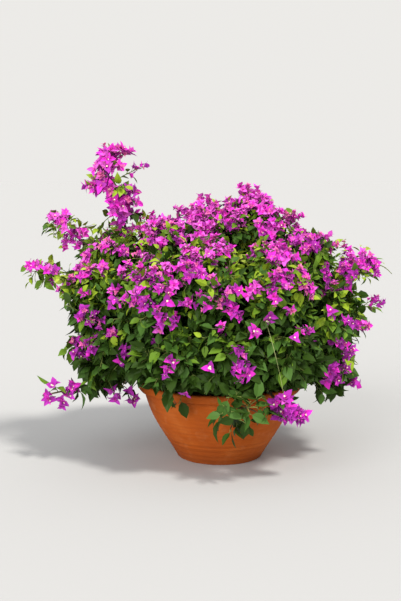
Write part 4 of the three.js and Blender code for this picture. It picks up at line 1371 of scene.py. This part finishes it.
def belly_radius(height):
    """The radius of the bowl's outside between foot and neck, from the curve that the solid follows."""
    t = np.linspace(0, 1, 64)[:, None]
    foot, lower, upper, neck = np.array([(FOOT_RADIUS, FOOT_EDGE), LOWER_PULL, UPPER_PULL, NECK])
    curve = (1 - t) ** 3 * foot + 3 * t * (1 - t) ** 2 * lower + 3 * t**2 * (1 - t) * upper + t**3 * neck
    return float(np.interp(height, curve[:, 1], curve[:, 0]))


def thrown(height):
    """How far the wall is drawn in or out by the potter's hand at a height."""
    length, depth = THROWING_WAVE
    wave = depth * math.sin(2 * math.pi * height / length)
    for at, deep in THROWING_GROOVES:
        wave -= deep * math.exp(-(((height - at) / GROOVE_WIDTH) ** 2))
    return wave


def bowl_profile():
    """The bowl's outline from the middle of its underside out, up to the lip and back down inside."""
    neck_radius, neck_height = NECK
    band_start = BOWL_HEIGHT - BAND_HEIGHT
    flat = FOOT_RADIUS - FOOT_EDGE
    points = [(0, 0), (FOOT_RADIUS * 0.5, 0), (flat, 0)]
    points += arc_points((flat, FOOT_EDGE), FOOT_EDGE, -70, 0)
    heights = np.arange(FOOT_EDGE * 1.6, neck_height - 0.002, OUTSIDE_STEP)
    points += [(belly_radius(z) + thrown(z), z) for z in heights]
    # The flare is a hollow curve from the neck to the band, with a groove under the band.
    for angle in np.linspace(0, math.pi / 2, 6):
        out = neck_radius + (FLARE_RADIUS - neck_radius) * (1 - math.cos(angle)) ** 0.8
        points.append((out, neck_height + (band_start - BAND_GAP - neck_height) * math.sin(angle)))
    points += [(FLARE_RADIUS - BAND_GROOVE, band_start + up) for up in (0, 0.001)]
    points += arc_points((RIM_RADIUS - BAND_ROUND, band_start + BAND_GAP + BAND_ROUND), BAND_ROUND, -90, 0)
    points += [(RIM_RADIUS - BAND_HOLLOW, band_start + BAND_HEIGHT * share) for share in (0.35, 0.5, 0.65)]
    points += arc_points((RIM_RADIUS - LIP_ROUND, BOWL_HEIGHT - LIP_ROUND), LIP_ROUND, 0, 90, 6)
    points += arc_points((RIM_RADIUS - RIM_WALL + LIP_ROUND, BOWL_HEIGHT - LIP_ROUND), LIP_ROUND, 90, 180, 6)
    points += [(belly_radius(z) - WALL, z) for z in np.arange(neck_height, BOWL_FLOOR + 0.012, -INSIDE_STEP)]
    return points + [(FOOT_RADIUS - WALL, BOWL_FLOOR), (0, BOWL_FLOOR)]


def add_bowl():
    def shift(radius, height, turn):
        spot = Vector((math.cos(turn), math.sin(turn), height * 9))
        dent = DENT * noise.noise(spot * 2.2) * min(1, height / 0.02)
        wide = radius + dent * (radius > 0.05)
        return (wide * math.cos(turn), wide * math.sin(turn), height)

    shapes = Shapes()
    shapes.add(*lathe(bowl_profile(), BOWL_SEGMENTS, shift))
    piece = shapes.join("bowl", terracotta(), "terracotta")
    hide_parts("pot")


def soil_height(x, y):
    edge = NECK[0] - WALL
    fall = SOIL_FALL * max(0, (math.hypot(x, y) - SOIL_FALL_FROM) / (edge - SOIL_FALL_FROM)) ** 1.3
    lumps = noise.noise(Vector((x, y, 0.3)) * 38) + 0.5 * noise.noise(Vector((x, y, 0.7)) * 95)
    return SOIL_TOP - SOIL_SUNK - fall + SOIL_ROUGHNESS * 0.5 * lumps


def add_soil():
    """The soil with a crumbly top, and loose crumbs on it."""
    edge_height = SOIL_TOP - SOIL_FALL
    edge = belly_radius(edge_height) - WALL - CLEARANCE
    profile = [(0, BOWL_FLOOR + CLEARANCE), (FOOT_RADIUS - WALL - 0.002, BOWL_FLOOR + CLEARANCE)]
    profile += [(belly_radius(z) - WALL - CLEARANCE, z) for z in np.linspace(0.05, edge_height - 0.012, 6)]
    profile += [(edge * share, edge_height) for share in np.linspace(1, 0.02, SOIL_RINGS)]
    profile += [(0, edge_height)]

    def shift(radius, height, turn):
        x, y = radius * math.cos(turn), radius * math.sin(turn)
        return (x, y, soil_height(x, y) if height == edge_height else height)

    material = soil()
    earth = Shapes()
    earth.add(*lathe(profile, SOIL_SEGMENTS, shift))
    piece = earth.join("soil_bed", material, "soil")
    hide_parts("soil")
    add_crumbs(edge, material)


def add_crumbs(edge, material):
    """Crumbs with eight faces each, strewn over the soil."""
    random = np.random.default_rng(CRUMB_SEED)
    corners = np.array([(1, 0, 0), (0, 1, 0), (-1, 0, 0), (0, -1, 0), (0, 0, 0.8), (0, 0, -0.8)])
    faces = [face for s in range(4) for face in ((s, (s + 1) % 4, 4), ((s + 1) % 4, s, 5))]
    radius = CRUMBS_FROM + (edge - CRUMBS_FROM - CRUMBS_WITHIN) * np.sqrt(random.random(CRUMBS))
    turn = random.uniform(0, 2 * np.pi, CRUMBS)
    x, y = radius * np.cos(turn), radius * np.sin(turn)
    size = random.uniform(*CRUMB_SIZE, CRUMBS)
    z = np.array([soil_height(a, b) for a, b in zip(x, y)]) + 0.2 * size
    lumps = corners * size[:, None, None] * random.uniform(0.65, 1.2, (CRUMBS, 6, 1))
    crumbs = Shapes()
    crumbs.add(lumps + np.stack([x, y, z], axis=-1)[:, None, :], faces)
    crumbs.join("soil_crumbs", material, "soil")


def add_floor():
    bpy.ops.mesh.primitive_circle_add(vertices=96, radius=FLOOR_RADIUS, fill_type="NGON")
    floor = bpy.context.object
    floor.name = "floor"
    floor.data.materials.append(pale_floor())


add_camera()
add_world()
for lamp_name, settings in LAMPS.items():
    add_lamp(lamp_name, *settings)
add_floor()
bpy.context.scene.view_settings.view_transform = "Standard"

SPACES = {mass.name: Space(mass) for mass in MASSES}
BOUGHS = plan_boughs(SPACES)
add_bowl()
add_soil()
add_wood(BOUGHS)
grow_crown(SPACES, BOUGHS)
